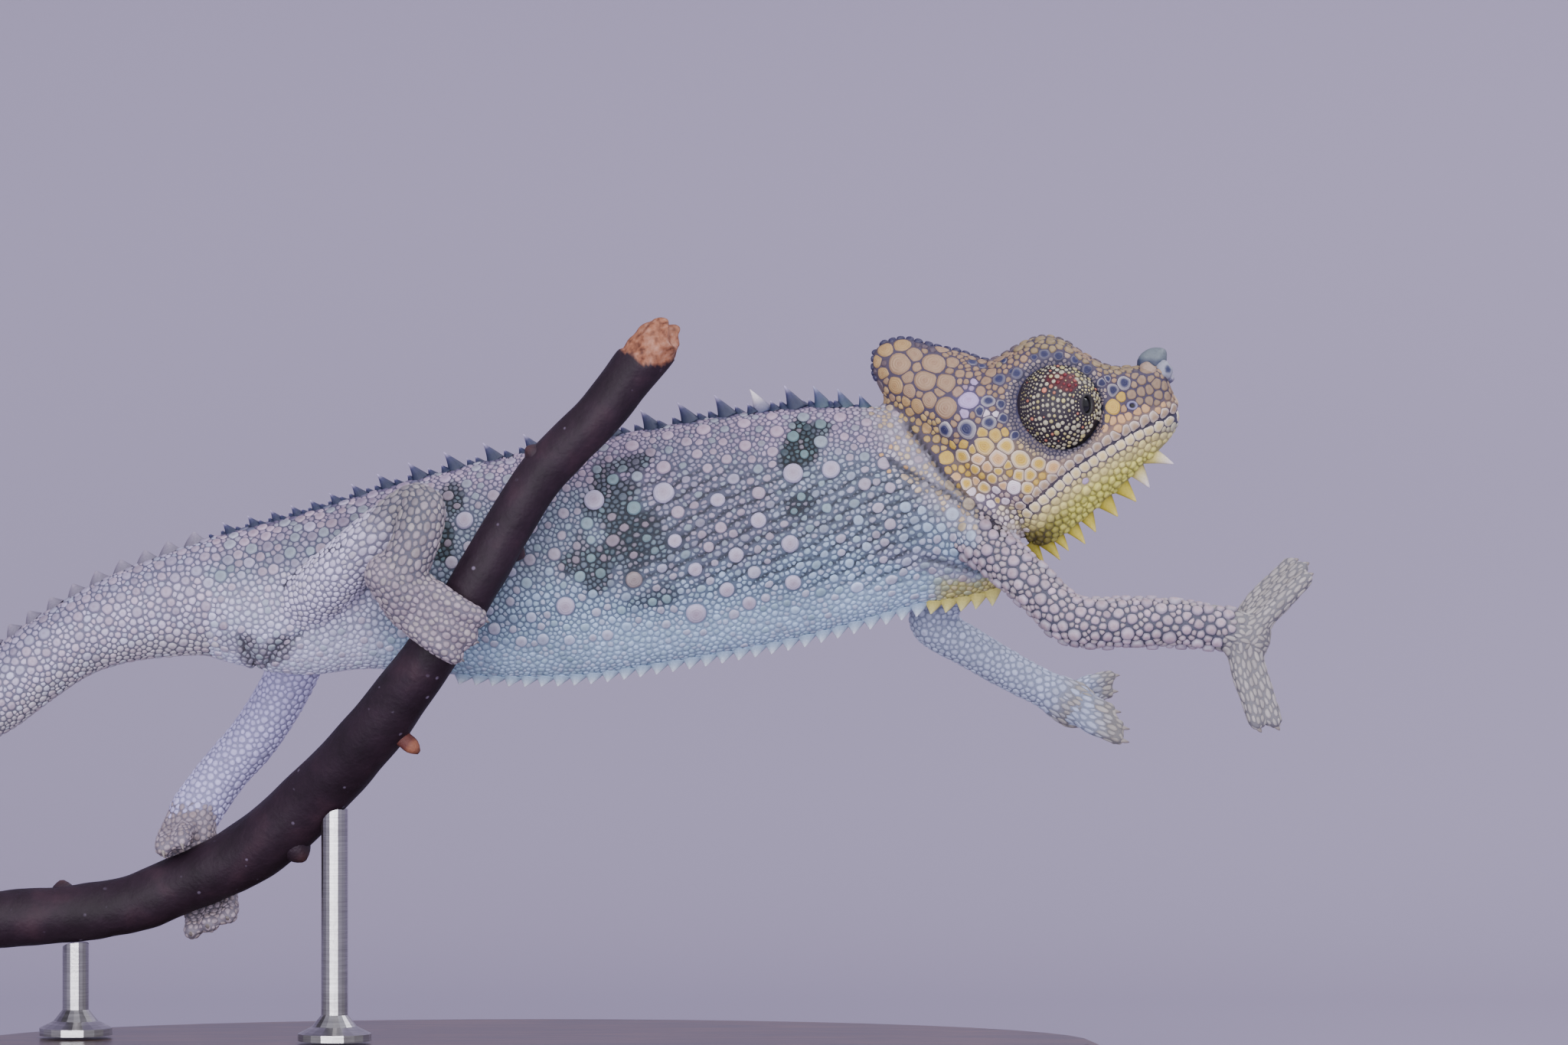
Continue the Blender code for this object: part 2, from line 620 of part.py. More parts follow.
def lips(head_block):
    """A low rounded ridge over and under the mouth, on each side of the head."""
    shape = bmesh.new()
    shape.from_mesh(head_block.data)
    tree = BVHTree.FromBMesh(shape)
    shape.free()
    line = np.array(MOUTH_LINE[1:8])
    ridges = {1: [], -1: []}
    for rise in ridges:
        for sign in (1, -1):
            points = []
            for x, z in line:
                start = Vector((x, sign * BLOCK_REACH, z + rise * LIP_RISE)) * mm
                hit = tree.ray_cast(start, Vector((0.0, -sign, 0.0)))[0]
                points.append(tuple(hit / mm))
            size = [LIP_RADIUS] * len(points)
            ridges[rise].append(tube("lip", points, size, size, HEAD_COLOUR, count=6, step=2.8))
    return ridges


def ball(name, centre, radius, colour, segments=16, rings=10, **finish):
    shape = bmesh.new()
    bmesh.ops.create_uvsphere(shape, u_segments=segments, v_segments=rings, radius=radius * mm)
    mesh = bpy.data.meshes.new(name)
    shape.to_mesh(mesh)
    shape.free()
    mesh.shade_smooth()
    obj = new_object(name, mesh, colour, **finish)
    obj.location = Vector(centre) * mm
    return obj


def box(name, centre, half):
    """A block, to cut with, from its centre and half sizes."""
    shape = bmesh.new()
    bmesh.ops.create_cube(shape, size=2.0 * mm)
    mesh = bpy.data.meshes.new(name)
    bmesh.ops.scale(shape, vec=half, verts=shape.verts)
    shape.to_mesh(mesh)
    shape.free()
    obj = new_object(name, mesh, HEAD_COLOUR)
    obj.location = Vector(centre) * mm
    return obj


def eye(side_name, sign):
    centre = np.array(EYE_CENTRE) * (1, sign, 1)
    turn = radians(EYE_FORWARD)
    look = unit(np.array((sin(turn), sign * cos(turn), sin(radians(EYE_LIFT)))))
    turret = ball(f"eye_turret_{side_name}", centre, EYE_RADIUS, TURRET_COLOUR)
    turret.rotation_mode = "QUATERNION"
    turret.rotation_quaternion = Vector(look).to_track_quat("Z", "X")
    bpy.context.view_layer.update()
    hole = ball("pupil_hole", centre + look * EYE_RADIUS, PUPIL_HOLE, TURRET_COLOUR, 12, 8)
    inner = EYE_RADIUS * 2
    block = box("inner_half", (centre[0], sign * (SEPTUM - inner), centre[2]), (inner, inner, inner))
    boolean(turret, [hole, block], "DIFFERENCE")
    pupil = ball(f"eyeball_{side_name}", centre + look * (EYE_RADIUS - 0.05), PUPIL_RADIUS,
                 (0.01, 0.01, 0.012), 10, 8, roughness=0.1)
    return {turret.name: turret, pupil.name: pupil}


def limb(name, upper, lower):
    """The two lengths of a limb, which meet at its fourth point, the elbow or knee."""
    points, across, deep = zip(*LIMBS[name])
    one = tube(upper, points[:4], across[:4], deep[:4], LIMB_COLOUR, step=2.2)
    two = tube(lower, points[3:], across[3:], deep[3:], LIMB_COLOUR, step=2.2, blunt=(True, False))
    return {upper: one, lower: clear_of(two, one)}


def toe(path, radius, curl):
    """One toe on a smooth path, and its claw, which bends by curl past the tip."""
    path, curl = np.array(path, float), np.array(curl, float)
    size = np.linspace(radius * 1.05, radius * 0.82, len(path))
    flesh = tube("toe", path, size, size, LIMB_COLOUR, count=6, step=2.3, blunt=(False, True))
    ahead = unit(path[-1] - path[-2])
    start = path[-1] + ahead * radius * 0.3
    middle = start + ahead * CLAW_LENGTH * 0.6 + curl * CLAW_LENGTH * 0.1
    tip = start + ahead * CLAW_LENGTH + curl * CLAW_LENGTH * 0.45
    sizes = (CLAW_RADIUS, CLAW_RADIUS * 0.7, CLAW_RADIUS * 0.2)
    claw = tube("claw", (start, middle, tip), sizes, sizes, LIMB_COLOUR, count=5, step=1.0,
                blunt=(False, False))
    return [flesh, claw]


def beside(toes, k):
    """How many toes the k-th one lies away from the middle of its bundle."""
    return k - (toes - 1) / 2


def grip(name):
    """A foot closed round the branch, its bundles of toes on either side of it."""
    plan = GRIPS[name]
    here, after = smooth([(b[0], *b) for b in BRANCH], [plan["at"], plan["at"] + 0.5])
    centre, radius = here[:3], here[3] + GAP
    axis = unit(after[:3] - here[:3])
    sole = np.array(plan["sole"], float)
    sole = unit(sole - axis * (axis @ sole))
    across = np.cross(axis, sole)
    wide, thick = plan["sole_size"]
    palm = centre + sole * (radius + thick)
    ankle = np.array(plan["ankle"], float)
    inward = unit(palm - ankle)
    path = (ankle - inward * 0.6, ankle + inward * 1.2, palm + inward * 0.8)
    foot = tube(name, path, (wide * 0.72, wide * 0.92, wide), (thick * 1.15, thick * 1.2, thick),
                LIMB_COLOUR, across=axis, blunt=(False, True))
    pieces = []
    for toes, first, last, offset, size in plan["bundles"]:
        for k in range(toes):
            shift = beside(toes, k) * size * TOE_SPACING
            turns = np.radians(np.linspace(first, last * (1 - 0.05 * abs(beside(toes, k))), 6))
            path = [
                centre + axis * (offset * min(1, i / 3) + shift * (0.85 + 0.03 * i))
                + (sole * cos(w) + across * sin(w)) * (radius + size * 1.06)
                for i, w in enumerate(turns)
            ]
            pieces += toe(path, size, -(sole * cos(turns[-1]) + across * sin(turns[-1])) * 0.3)
    return boolean(foot, pieces, "UNION")


def reach(name):
    """An open hand, its two bundles of toes spread apart."""
    plan = REACHES[name]
    wrist, palm = np.array(plan["wrist"], float), np.array(plan["palm"], float)
    inward = unit(palm - wrist)
    path = (wrist - inward * 0.6, wrist + inward * 0.8, palm + inward * 1.0)
    hand = tube(name, path, (1.7, 2.1, 2.2), (1.8, 2.3, 2.5), LIMB_COLOUR, blunt=(False, True))
    pieces = []
    middle = sum(np.array(b[2]) for b in plan["bundles"]) / len(plan["bundles"])
    for toes, knuckle, tip, row, size in plan["bundles"]:
        knuckle, tip = np.array(knuckle, float), np.array(tip, float)
        row = unit(np.array(row, float))
        for k in range(toes):
            shift = row * beside(toes, k) * size * TOE_SPACING * 0.9
            short = unit(tip - knuckle) * 0.5 * abs(beside(toes, k))
            path = (palm + shift * 0.6, knuckle + shift, (knuckle + tip) / 2 + shift * 1.05,
                    tip + shift * 1.1 - short)
            pieces += toe(path, size, unit(middle - tip))
    return boolean(hand, pieces, "UNION")


def branch():
    points = [b[:3] for b in BRANCH]
    radius = [b[3] for b in BRANCH]
    stem = tube("perch_branch", points, radius, radius, BARK_COLOUR, count=12, step=3.4,
                blunt=(False, False), roughness=0.8)
    keys = [(b[0], *b) for b in BRANCH]
    here = smooth(keys, [TWIG_X])[0]
    lean = unit(np.array(TWIG_LEAN))
    root, tip = here[:3] + lean * here[3] * 0.5, here[:3] + lean * (here[3] + TWIG_LENGTH)
    sizes = (TWIG_RADIUS * 1.5, TWIG_RADIUS, TWIG_RADIUS * 0.9)
    pieces = [tube("twig", (root, (root + tip) / 2, tip), sizes, sizes, BARK_COLOUR, count=8)]
    for x, turn, height in BUDS:
        here, after = smooth(keys, [x, x + 0.5])
        axis = unit(after[:3] - here[:3])
        side = unit(np.cross(axis, SIDE))
        out = side * sin(radians(turn)) + np.cross(side, axis) * cos(radians(turn))
        size = here[3] * 0.75
        pieces.append(ball("bud", here[:3] + out * (here[3] + height - size), size, BARK_COLOUR, 8, 6))
    return boolean(stem, pieces, "UNION")


def stand(perch):
    """The oval base, and the turned rods that hold the branch on it."""
    shape = bmesh.new()
    bmesh.ops.create_cone(shape, cap_ends=True, segments=48, radius1=1.0, radius2=1.0, depth=1.0)
    for v in shape.verts:
        v.co.x *= BASE_LENGTH / 2 * mm
        v.co.y *= BASE_WIDTH / 2 * mm
        v.co.z = (v.co.z + 0.5) * BASE_THICKNESS * mm
    mesh = bpy.data.meshes.new("stand_base")
    shape.to_mesh(mesh)
    shape.free()
    base = new_object("stand_base", mesh, WOOD_COLOUR, roughness=0.4)
    edge = base.modifiers.new("rounded edge", "BEVEL")
    edge.width = 1.2 * mm
    edge.segments = 2
    edge.limit_method = "ANGLE"
    nodes = {"stand_base": base}
    for x, name in zip(ROD_X, ("stand_rod_back", "stand_rod_front")):
        y, z = smooth([(b[0], b[1], b[2]) for b in BRANCH], [x])[0]
        foot = BASE_THICKNESS + GAP
        profile = (
            (0.0, z), (ROD_RADIUS, z), (ROD_RADIUS, foot + FLANGE_HEIGHT * 1.8),
            (ROD_RADIUS * 1.7, foot + FLANGE_HEIGHT), (FLANGE_RADIUS, foot + FLANGE_HEIGHT * 0.5),
            (FLANGE_RADIUS, foot), (0.0, foot),
        )
        mesh = bpy.data.meshes.new(name)
        edges = [(k, k + 1) for k in range(len(profile) - 1)]
        mesh.from_pydata([(r * mm, 0.0, h * mm) for r, h in profile], edges, [])
        rod = new_object(name, mesh, STEEL_COLOUR, roughness=0.25, metallic=1.0)
        turned = rod.modifiers.new("turned", "SCREW")
        turned.steps = turned.render_steps = 20
        turned.use_merge_vertices = True
        turned.merge_threshold = 0.00001
        rod.location = Vector((x, y, 0.0)) * mm
        bpy.context.view_layer.update()
        apply_modifiers(rod)
        nodes[name] = clear_of(rod, perch)
    return nodes


for obj in list(bpy.data.objects):
    bpy.data.objects.remove(obj)
model = bpy.data.collections.new("helmeted_chameleon")
helpers = bpy.data.collections.new("helpers")
helpers.hide_render = True
bpy.context.scene.collection.children.link(model)
bpy.context.scene.collection.children.link(helpers)

nodes, front_block = trunk()
nodes.update(tail())
head_nodes, head_block = head()
nodes.update(head_nodes)
nodes.update(eye("right", -1))
nodes.update(eye("left", 1))
nodes.update(limb("arm_right", "upper_arm_right", "forearm_right"))
nodes.update(limb("arm_left", "upper_arm_left", "forearm_left"))
nodes.update(limb("leg_right", "thigh_right", "shank_right"))
nodes.update(limb("leg_left", "thigh_left", "shank_left"))
for name in REACHES:
    nodes[name] = reach(name)
for name in GRIPS:
    nodes[name] = grip(name)
nodes["perch_branch"] = branch()
nodes.update(stand(nodes["perch_branch"]))
clear_of(nodes["tail_1"], nodes["pelvis"])
clear_of(nodes["neck"], head_block)
clear_of(nodes["chest"], head_block)
for name in ("upper_arm_right", "upper_arm_left"):
    clear_of(nodes[name], front_block)
for name in ("thigh_right", "thigh_left"):
    clear_of(nodes[name], nodes["pelvis"])
for side_name in ("right", "left"):
    clear_of(nodes[f"hand_{side_name}"], nodes[f"forearm_{side_name}"])
    clear_of(nodes[f"foot_{side_name}"], nodes[f"shank_{side_name}"], nodes["perch_branch"])
    clear_of(nodes["head"], nodes[f"eye_turret_{side_name}"])
    clear_of(nodes[f"eye_turret_{side_name}"], nodes[f"eyeball_{side_name}"])
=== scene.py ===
from itertools import product
from math import atan2, ceil, cos, degrees, floor, pi, radians, sin
import bpy
import numpy as np
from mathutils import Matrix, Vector
from mathutils.bvhtree import BVHTree
from mathutils.kdtree import KDTree


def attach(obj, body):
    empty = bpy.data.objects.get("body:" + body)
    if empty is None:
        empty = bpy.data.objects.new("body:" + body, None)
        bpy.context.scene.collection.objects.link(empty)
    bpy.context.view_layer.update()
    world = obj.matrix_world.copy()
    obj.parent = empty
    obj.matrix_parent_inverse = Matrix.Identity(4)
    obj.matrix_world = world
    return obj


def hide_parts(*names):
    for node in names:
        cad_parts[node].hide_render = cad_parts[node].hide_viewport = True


# a helmeted chameleon on a cut branch, life size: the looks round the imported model
# shapes are worked out in millimetres and written to the meshes in metres

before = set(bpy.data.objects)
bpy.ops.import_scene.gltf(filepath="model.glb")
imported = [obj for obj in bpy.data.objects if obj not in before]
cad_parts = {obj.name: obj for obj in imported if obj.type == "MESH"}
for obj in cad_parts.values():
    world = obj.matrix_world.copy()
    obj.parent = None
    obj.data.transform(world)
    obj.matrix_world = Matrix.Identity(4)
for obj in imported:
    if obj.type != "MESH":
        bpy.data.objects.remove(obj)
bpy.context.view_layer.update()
mm = 0.001
upWay = np.array((0.0, 0.0, 1.0))
sideWay = np.array((0.0, 1.0, 0.0))
dice = np.random.default_rng(31)
print("frame loaded")


# small helpers

def unit(v):
    v = np.asarray(v, float)
    return v / np.maximum(np.linalg.norm(v, axis=-1, keepdims=True), 1e-9)


def mirrored(v, sign):
    return np.array(v) * (1, sign, 1)


def turnsOf(around):
    return np.arange(around) * 2 * pi / around


def makeTree(points):
    tree = KDTree(len(points))
    for i, p in enumerate(points):
        tree.insert(p, i)
    tree.balance()
    return tree


def nearestIn(tree, points):
    return np.array([tree.find(p)[1] for p in points])


def blend(one, two, share):
    return one * (1 - share) + two * share


def paint(red, green, blue):  # a colour picked on a 0 to 255 scale, made linear
    c = np.array((red, green, blue)) / 255
    return np.where(c <= 0.04045, c / 12.92, ((c + 0.055) / 1.055) ** 2.4)


def curveAt(keys, places):  # the first column of keys is the place along the curve
    keys = np.array(keys, float)
    place, value = keys[:, 0], keys[:, 1:]
    slope = np.zeros_like(value)
    slope[1:-1] = (value[2:] - value[:-2]) / (place[2:] - place[:-2])[:, None]
    slope[0] = (value[1] - value[0]) / (place[1] - place[0])
    slope[-1] = (value[-1] - value[-2]) / (place[-1] - place[-2])
    at = np.asarray(places, float)
    i = np.clip(np.searchsorted(place, at, side="right") - 1, 0, len(place) - 2)
    span = (place[i + 1] - place[i])[:, None]
    t = ((at - place[i]) / (place[i + 1] - place[i]))[:, None]
    rise = t * t * (3 - 2 * t)
    start = value[i] * (1 - rise) + slope[i] * span * (t ** 3 - 2 * t * t + t)
    return start + value[i + 1] * rise + slope[i + 1] * span * (t ** 3 - t * t)


def chain(points, *columns):  # puts the distance along the points in front of them
    points = np.array(points, float)
    steps = np.linalg.norm(np.diff(points, axis=0), axis=1)
    place = np.concatenate([[0.0], np.cumsum(steps)])
    extra = [np.array(c, float).reshape(len(points), -1) for c in columns]
    return np.hstack([place[:, None], points, *extra])


def softStep(low, high, value):
    t = np.clip((np.asarray(value, float) - low) / (high - low), 0, 1)
    return t * t * (3 - 2 * t)


def buildMesh(name, points, *faceSets):  # points in millimetres, each set an array of equal faces
    mesh = bpy.data.meshes.new(name)
    loops = np.concatenate([f.ravel() for f in faceSets]).astype(np.int32)
    sizes = np.concatenate([np.full(len(f), f.shape[1]) for f in faceSets])
    starts = np.concatenate([[0], np.cumsum(sizes)[:-1]]).astype(np.int32)
    mesh.vertices.add(len(points))
    mesh.vertices.foreach_set("co", (np.asarray(points) * mm).astype(np.float32).ravel())
    mesh.loops.add(len(loops))
    mesh.loops.foreach_set("vertex_index", loops)
    mesh.polygons.add(len(sizes))
    mesh.polygons.foreach_set("loop_start", starts)
    mesh.update(calc_edges=True)
    mesh.shade_smooth()
    return mesh


def linkNew(name, data):
    obj = bpy.data.objects.new(name, data)
    bpy.context.scene.collection.objects.link(obj)
    return obj


def addPiece(name, mesh, material, slot, *nodes):
    piece = linkNew(name, mesh)
    mesh.materials.append(material)
    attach(piece, "root")
    if nodes:
        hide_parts(*nodes)
    return piece


def addTint(mesh, colours):
    layer = mesh.color_attributes.new("tint", "FLOAT_COLOR", "POINT")
    values = np.column_stack([colours, np.ones(len(colours))])
    layer.data.foreach_set("color", values.astype(np.float32).ravel())


def addValues(mesh, values, name):
    layer = mesh.attributes.new(name, "FLOAT", "POINT")
    layer.data.foreach_set("value", np.asarray(values, np.float32))


def addBakeMap(mesh, spots):  # one place on the map for each vertex
    loopVertex = np.zeros(len(mesh.loops), np.int32)
    mesh.loops.foreach_get("vertex_index", loopVertex)
    layer = mesh.uv_layers.new(name="OFBake")
    layer.data.foreach_set("uv", spots[loopVertex].astype(np.float32).ravel())


def stripFaces(rows, around, first=0):  # quads between rows of a closed lattice
    i = (np.arange(rows - 1) * around)[:, None] + first
    k = np.arange(around)
    n = (k + 1) % around
    return np.stack([i + k, i + n, i + around + n, i + around + k], -1).reshape(-1, 4)


def closedRows(rows, shades):  # a solid turned from rows of points, with a colour for each row
    around = len(rows[0])
    k = np.arange(around)
    faces = [stripFaces(len(rows), around), k[::-1][None], (k + (len(rows) - 1) * around)[None]]
    return np.vstack(rows), np.repeat(np.array(shades), around, 0), faces


def domeFaces(rings, around, count):  # rings of points and one on top, the same for every dome
    k = np.arange(around)
    top, each = (rings - 1) * around, rings * around + 1
    threes = np.stack([top + k, top + (k + 1) % around, np.full(around, each - 1)], -1)
    offset = (np.arange(count) * each)[:, None, None]
    return [(stripFaces(rings, around) + offset).reshape(-1, 4), (threes + offset).reshape(-1, 3),
            (k[::-1][None] + offset).reshape(-1, around)]


# the skin's forms, repeated from the model's own sizes: a list of rings for each length

def oval(centre, side, top, halfSide, halfTop, around, keel=1.0):
    turn = turnsOf(around)
    u = np.sign(np.sin(turn)) * np.abs(np.sin(turn)) ** keel * halfSide
    return centre + u[:, None] * side + (np.cos(turn) * halfTop)[:, None] * top


def framesAlong(points, across=sideWay):  # the way ahead and the way across at every point
    ahead = unit(np.gradient(points, axis=0))
    return ahead, unit(across - ahead * (ahead @ across)[:, None])


def makeForm(label, rings, ahead):
    return {"label": label, "rings": np.array(rings), "ahead": np.array(ahead)}


capAngles = np.radians((20, 40, 58, 74))  # the rings that round off the end of a tube


def tubeForm(label, points, halfSide, halfTop, around=20, step=0.5, across=sideWay, rounded=(True, True)):
    keys = chain(points, halfSide, halfTop)
    row = curveAt(keys, np.linspace(0, keys[-1, 0], max(4, int(keys[-1, 0] / step) + 1)))
    ahead, side = framesAlong(row[:, :3], np.array(across, float))
    top = np.cross(ahead, side)
    rings = [oval(*r, around) for r in zip(row[:, :3], side, top, row[:, 3], row[:, 4])]
    ways = list(ahead)
    for end, wanted in ((0, rounded[0]), (-1, rounded[1])):
        if not wanted:
            continue
        away = ahead[end] * (1 if end else -1)
        a, b = row[end, 3], row[end, 4]
        caps = [
            oval(row[end, :3] + away * min(a, b) * sin(w), side[end], top[end],
                 a * cos(w), b * cos(w), around)
            for w in capAngles
        ]
        rings = rings + caps if end else caps[::-1] + rings
        more = [ahead[end]] * len(caps)
        ways = ways + more if end else more + ways
    return makeForm(label, rings, ways)


trunkShape = {  # x, top, bottom and half width of each ring
    "rings": (
        (-31, 56.6, 44.3, 4.1), (-27.5, 57.6, 43.4, 4.6), (-22, 59, 42.7, 5.3), (-16, 60.9, 43.3, 5.6),
        (-9, 62.9, 42.8, 5.7), (-2, 64.6, 42.5, 6), (5, 66, 42.7, 6.2), (12, 67.3, 43.7, 6.2),
        (19, 68.5, 44.9, 6), (26, 69.3, 46.3, 5.8), (32, 69.4, 47.9, 5.6), (38, 68.8, 49.6, 5.3),
        (43, 67, 50.4, 4.9), (46, 64.5, 51.4, 4.2), (48, 62, 53.6, 3),
    ),
    "keel": 1.12,
}


def trunkForm():
    keys = trunkShape["rings"]
    x = np.arange(keys[0][0], keys[-1][0], 0.6)
    rows = zip(x, *curveAt(keys, x).T)
    rings = [
        oval(np.array((a, 0, (t + b) / 2)), sideWay, upWay, w, (t - b) / 2, 60, trunkShape["keel"])
        for a, t, b, w in rows
    ]
    return makeForm("trunk", rings, [(1, 0, 0)] * len(rings))


headShape = {
    # x, then top, crest width and height, cheek, lip and jaw the same way, bottom
    "rings": (
        (33.3, 74.6, 0.5, 74.2, 0.8, 73.5, 0.7, 72.8, 0.4, 72.4, 72.2),
        (34.3, 75.6, 0.9, 75, 1.5, 73.4, 1.4, 71.9, 0.8, 70.7, 70.2),
        (36.5, 76.1, 1.5, 75, 2.8, 72.2, 2.8, 70, 2, 68.4, 67.4),
        (39.5, 75.4, 2.1, 74.2, 4.2, 70.8, 4.4, 68, 3.2, 66, 64.9),
        (42.5, 74.7, 2.8, 73.4, 5.2, 69.6, 5.5, 66, 4.4, 62.8, 61.2),
        (45, 73.9, 3.5, 73, 5.6, 69.5, 6, 65, 4.9, 61, 58.8),
        (47.5, 75.2, 4.1, 74.3, 5.3, 69.7, 6, 64.3, 4.7, 59.6, 56.9),
        (49.8, 76.2, 4.4, 75, 4.9, 70, 5.6, 64.2, 4.2, 58.6, 55.2),
        (52, 75.9, 4.4, 74.8, 4.6, 70, 5.2, 64.8, 3.8, 59.4, 56.2),
        (54.4, 74.4, 4.1, 73.5, 4.4, 69.6, 4.8, 65.7, 3.5, 61, 58),
        (56.5, 73.3, 3.6, 72.6, 4, 69.6, 4.3, 66.5, 3.2, 62.4, 59.8),
        (58.5, 73.2, 3.2, 72.4, 3.6, 69.8, 3.8, 67.2, 2.8, 63.9, 61.6),
        (60.3, 73.5, 2.7, 72.6, 3.1, 70.3, 3.3, 67.9, 2.4, 65.4, 63.4),
        (62, 73.2, 2, 72.2, 2.5, 70.4, 2.6, 68.4, 1.8, 66.6, 65),
        (63.1, 70.5, 1.2, 70.1, 1.6, 69.6, 1.7, 68.6, 1.1, 67.4, 66.3),
        (63.7, 69.6, 0.5, 69.4, 0.7, 69, 0.7, 68.5, 0.5, 67.9, 67.5),
    ),
    # the closed mouth from the snout back to its corner
    "mouth": (
        (66, 69.9), (63.5, 68.7), (59.2, 66.7), (56.8, 65.4), (54.4, 63.9), (52, 62.2),
        (49.8, 60.3), (48.1, 58.9),
    ),
}


def headForm():
    keys = headShape["rings"]
    x = np.linspace(keys[0][0], keys[-1][0], 76)
    rings = []
    for a, row in zip(x, curveAt(keys, x)):
        top, cw, ch, mw, mh, lw, lh, jw, jh, bottom = row
        half = [(0, top), (cw, ch), (mw, mh), (lw, lh), (jw, jh), (0, bottom)]
        ring = half + [(-y, z) for y, z in half[-2:0:-1]]
        closed = chain([(a, y, z) for y, z in ring[-2:] + ring + ring[:3]])
        start, end = closed[2, 0], closed[2 + len(ring), 0]
        rings.append(curveAt(closed, np.linspace(start, end, 64, endpoint=False)))
    return makeForm("head", rings, [(1, 0, 0)] * len(rings))


tailShape = {
    "base": (  # centre x and z, half height, half width
        (-30.2, 50.55, 6.2, 4.2), (-33.6, 50, 5.5, 3.9), (-39.7, 48.5, 4.6, 3.7),
        (-44.4, 46.5, 4, 3.5), (-48.2, 44.1, 3.95, 3.35), (-52, 41.2, 3.9, 3.3),
    ),
    "heading": (
        (0, 215), (12, 203), (22, 208), (32, 245), (44, 325), (56, 430), (68, 570), (78, 720),
    ),
    "tipRadius": 0.5,
    "drift": 2.5,
}


def tailPath():  # place, centre, half height and half width all the way down
    t = np.array(tailShape["base"])
    base = chain(np.column_stack([t[:, 0], 0 * t[:, 0], t[:, 1]]), t[:, 2:])
    first = curveAt(base, np.linspace(0, base[-1, 0], 40))[:-1]
    length = tailShape["heading"][-1][0]
    fine = np.linspace(0, length, 400)
    heading = np.radians(curveAt(tailShape["heading"], fine)[:, 0])
    x = base[-1, 1] + np.concatenate([[0], np.cumsum(np.cos(heading[:-1]) * np.diff(fine))])
    z = base[-1, 3] + np.concatenate([[0], np.cumsum(np.sin(heading[:-1]) * np.diff(fine))])
    taper = (1 - fine / length) ** 0.9
    tip = tailShape["tipRadius"]
    high, wide = tip + (base[-1, 4] - tip) * taper, tip + (base[-1, 5] - tip) * taper
    curl = np.column_stack([x, tailShape["drift"] * (fine / length) ** 2, z, high, wide])
    return chain(*np.split(np.vstack([first, curl]), [3], axis=1))


def tailForm():
    path = tailPath()
    row = curveAt(path, np.arange(0, path[-1, 0], 0.6))
    ahead, side = framesAlong(row[:, :3])
    top = np.cross(side, ahead)
    rings = [oval(c, s, t, w, h, 30) for c, s, t, (h, w) in zip(row[:, :3], side, top, row[:, 3:5])]
    return makeForm("tail", rings, ahead)


branchShape = {
    "path": (  # centre and radius, from the lower cut end to the upper one
        (-57, 4, 18.4, 2.9), (-52, 4, 18.7, 2.9), (-40.9, 4, 19.9, 2.9),
        (-33.9, 3.4, 22.4, 3), (-27, 1.6, 25.9, 3.3), (-21.3, -1.6, 30.9, 3.2),
        (-15.5, -6.6, 37, 3), (-10.2, -10.6, 43.8, 2.75), (-5.5, -12, 50.9, 2.5),
        (-1.3, -12.5, 58.2, 2.4), (0.5, -12.7, 61.1, 2.4), (3.7, -13, 64.8, 2.45),
        (7.1, -13.4, 68.2, 2.4), (9.3, -13.7, 71, 2.45),
        (11.6, -14.05, 73.8, 2.55), (12.9, -14.3, 75.5, 2.4), (13.8, -14.5, 76.6, 2),
        (14.4, -14.6, 77.3, 1.6),
    ),
    "twig": (-14.2, (0.75, -0.2, -0.62), 0.8, 1.9),
    "buds": ((-24.4, 250, 0.9), (2.2, 110, 0.55), (-2.6, 290, 0.5), (-46, 80, 0.5)),
}
branchKeys = [(b[0], *b) for b in branchShape["path"]]
branchLine = chain([b[:3] for b in branchShape["path"]], [b[3] for b in branchShape["path"]])

limbShapes = {  # centre, half width and half depth down each limb
    "armRight": (
        (42.5, -2.6, 57.5, 2.6, 2.6), (45.6, -6, 54.7, 2.3, 2.55), (49, -8.4, 51.6, 2.15, 2.35),
        (52.7, -9.6, 48.4, 2.4, 2.5), (57.5, -9.9, 48.2, 2.5, 2.5), (62.5, -9.6, 48.1, 2.35, 2.4),
        (67.2, -9.2, 47.6, 2.2, 2.2),
    ),
    "armLeft": (
        (42.5, 2.6, 57.5, 2.6, 2.6), (43, 6.4, 54.2, 2.3, 2.5), (41, 9.2, 50.6, 2.1, 2.3),
        (39.3, 10.4, 48, 2.1, 2.3), (43.4, 11, 45.3, 2.1, 2.2), (47.5, 11.6, 42.9, 2, 2.1),
        (51.4, 12, 40.9, 2, 2),
    ),
    "legRight": (
        (-23, -1.6, 49.5, 3.2, 3.4), (-20, -5.2, 51.5, 2.9, 3.1), (-15.2, -9.2, 55.8, 2.6, 2.8),
        (-10.2, -12.4, 59.4, 2.35, 2.5), (-10.4, -14.4, 56.4, 2.3, 2.5), (-11.5, -14.8, 53.8, 2.2, 2.5),
        (-12.4, -14.8, 51.9, 2.3, 2.7),
    ),
    "legLeft": (
        (-22, 2, 50, 3.2, 3.2), (-22.6, 5, 46.6, 2.9, 3), (-24.2, 7, 42.2, 2.55, 2.75),
        (-27.6, 8.2, 36.7, 2.5, 2.7), (-30.3, 8.4, 33.6, 2.4, 2.65), (-32.3, 8.3, 31, 2.4, 2.7),
        (-33.6, 7.9, 29, 2.5, 2.8),
    ),
}
footShapes = {
    "footRight": {
        "ankle": (-12.4, -14.8, 51.9), "at": -7.1, "sole": (-0.72, -0.52, 0.42), "size": (3.2, 2.1),
        "bundles": ((3, 16, 90, 0, 1.35), (2, -20, -116, 0, 1.1)),
    },
    "footLeft": {
        "ankle": (-33.6, 7.9, 29), "at": -33.2, "sole": (-0.1, 0.55, 0.83), "size": (3.2, 1.9),
        "bundles": ((2, 12, 68, 0, 1.25), (3, -14, -144, -0.5, 1.25)),
    },
}
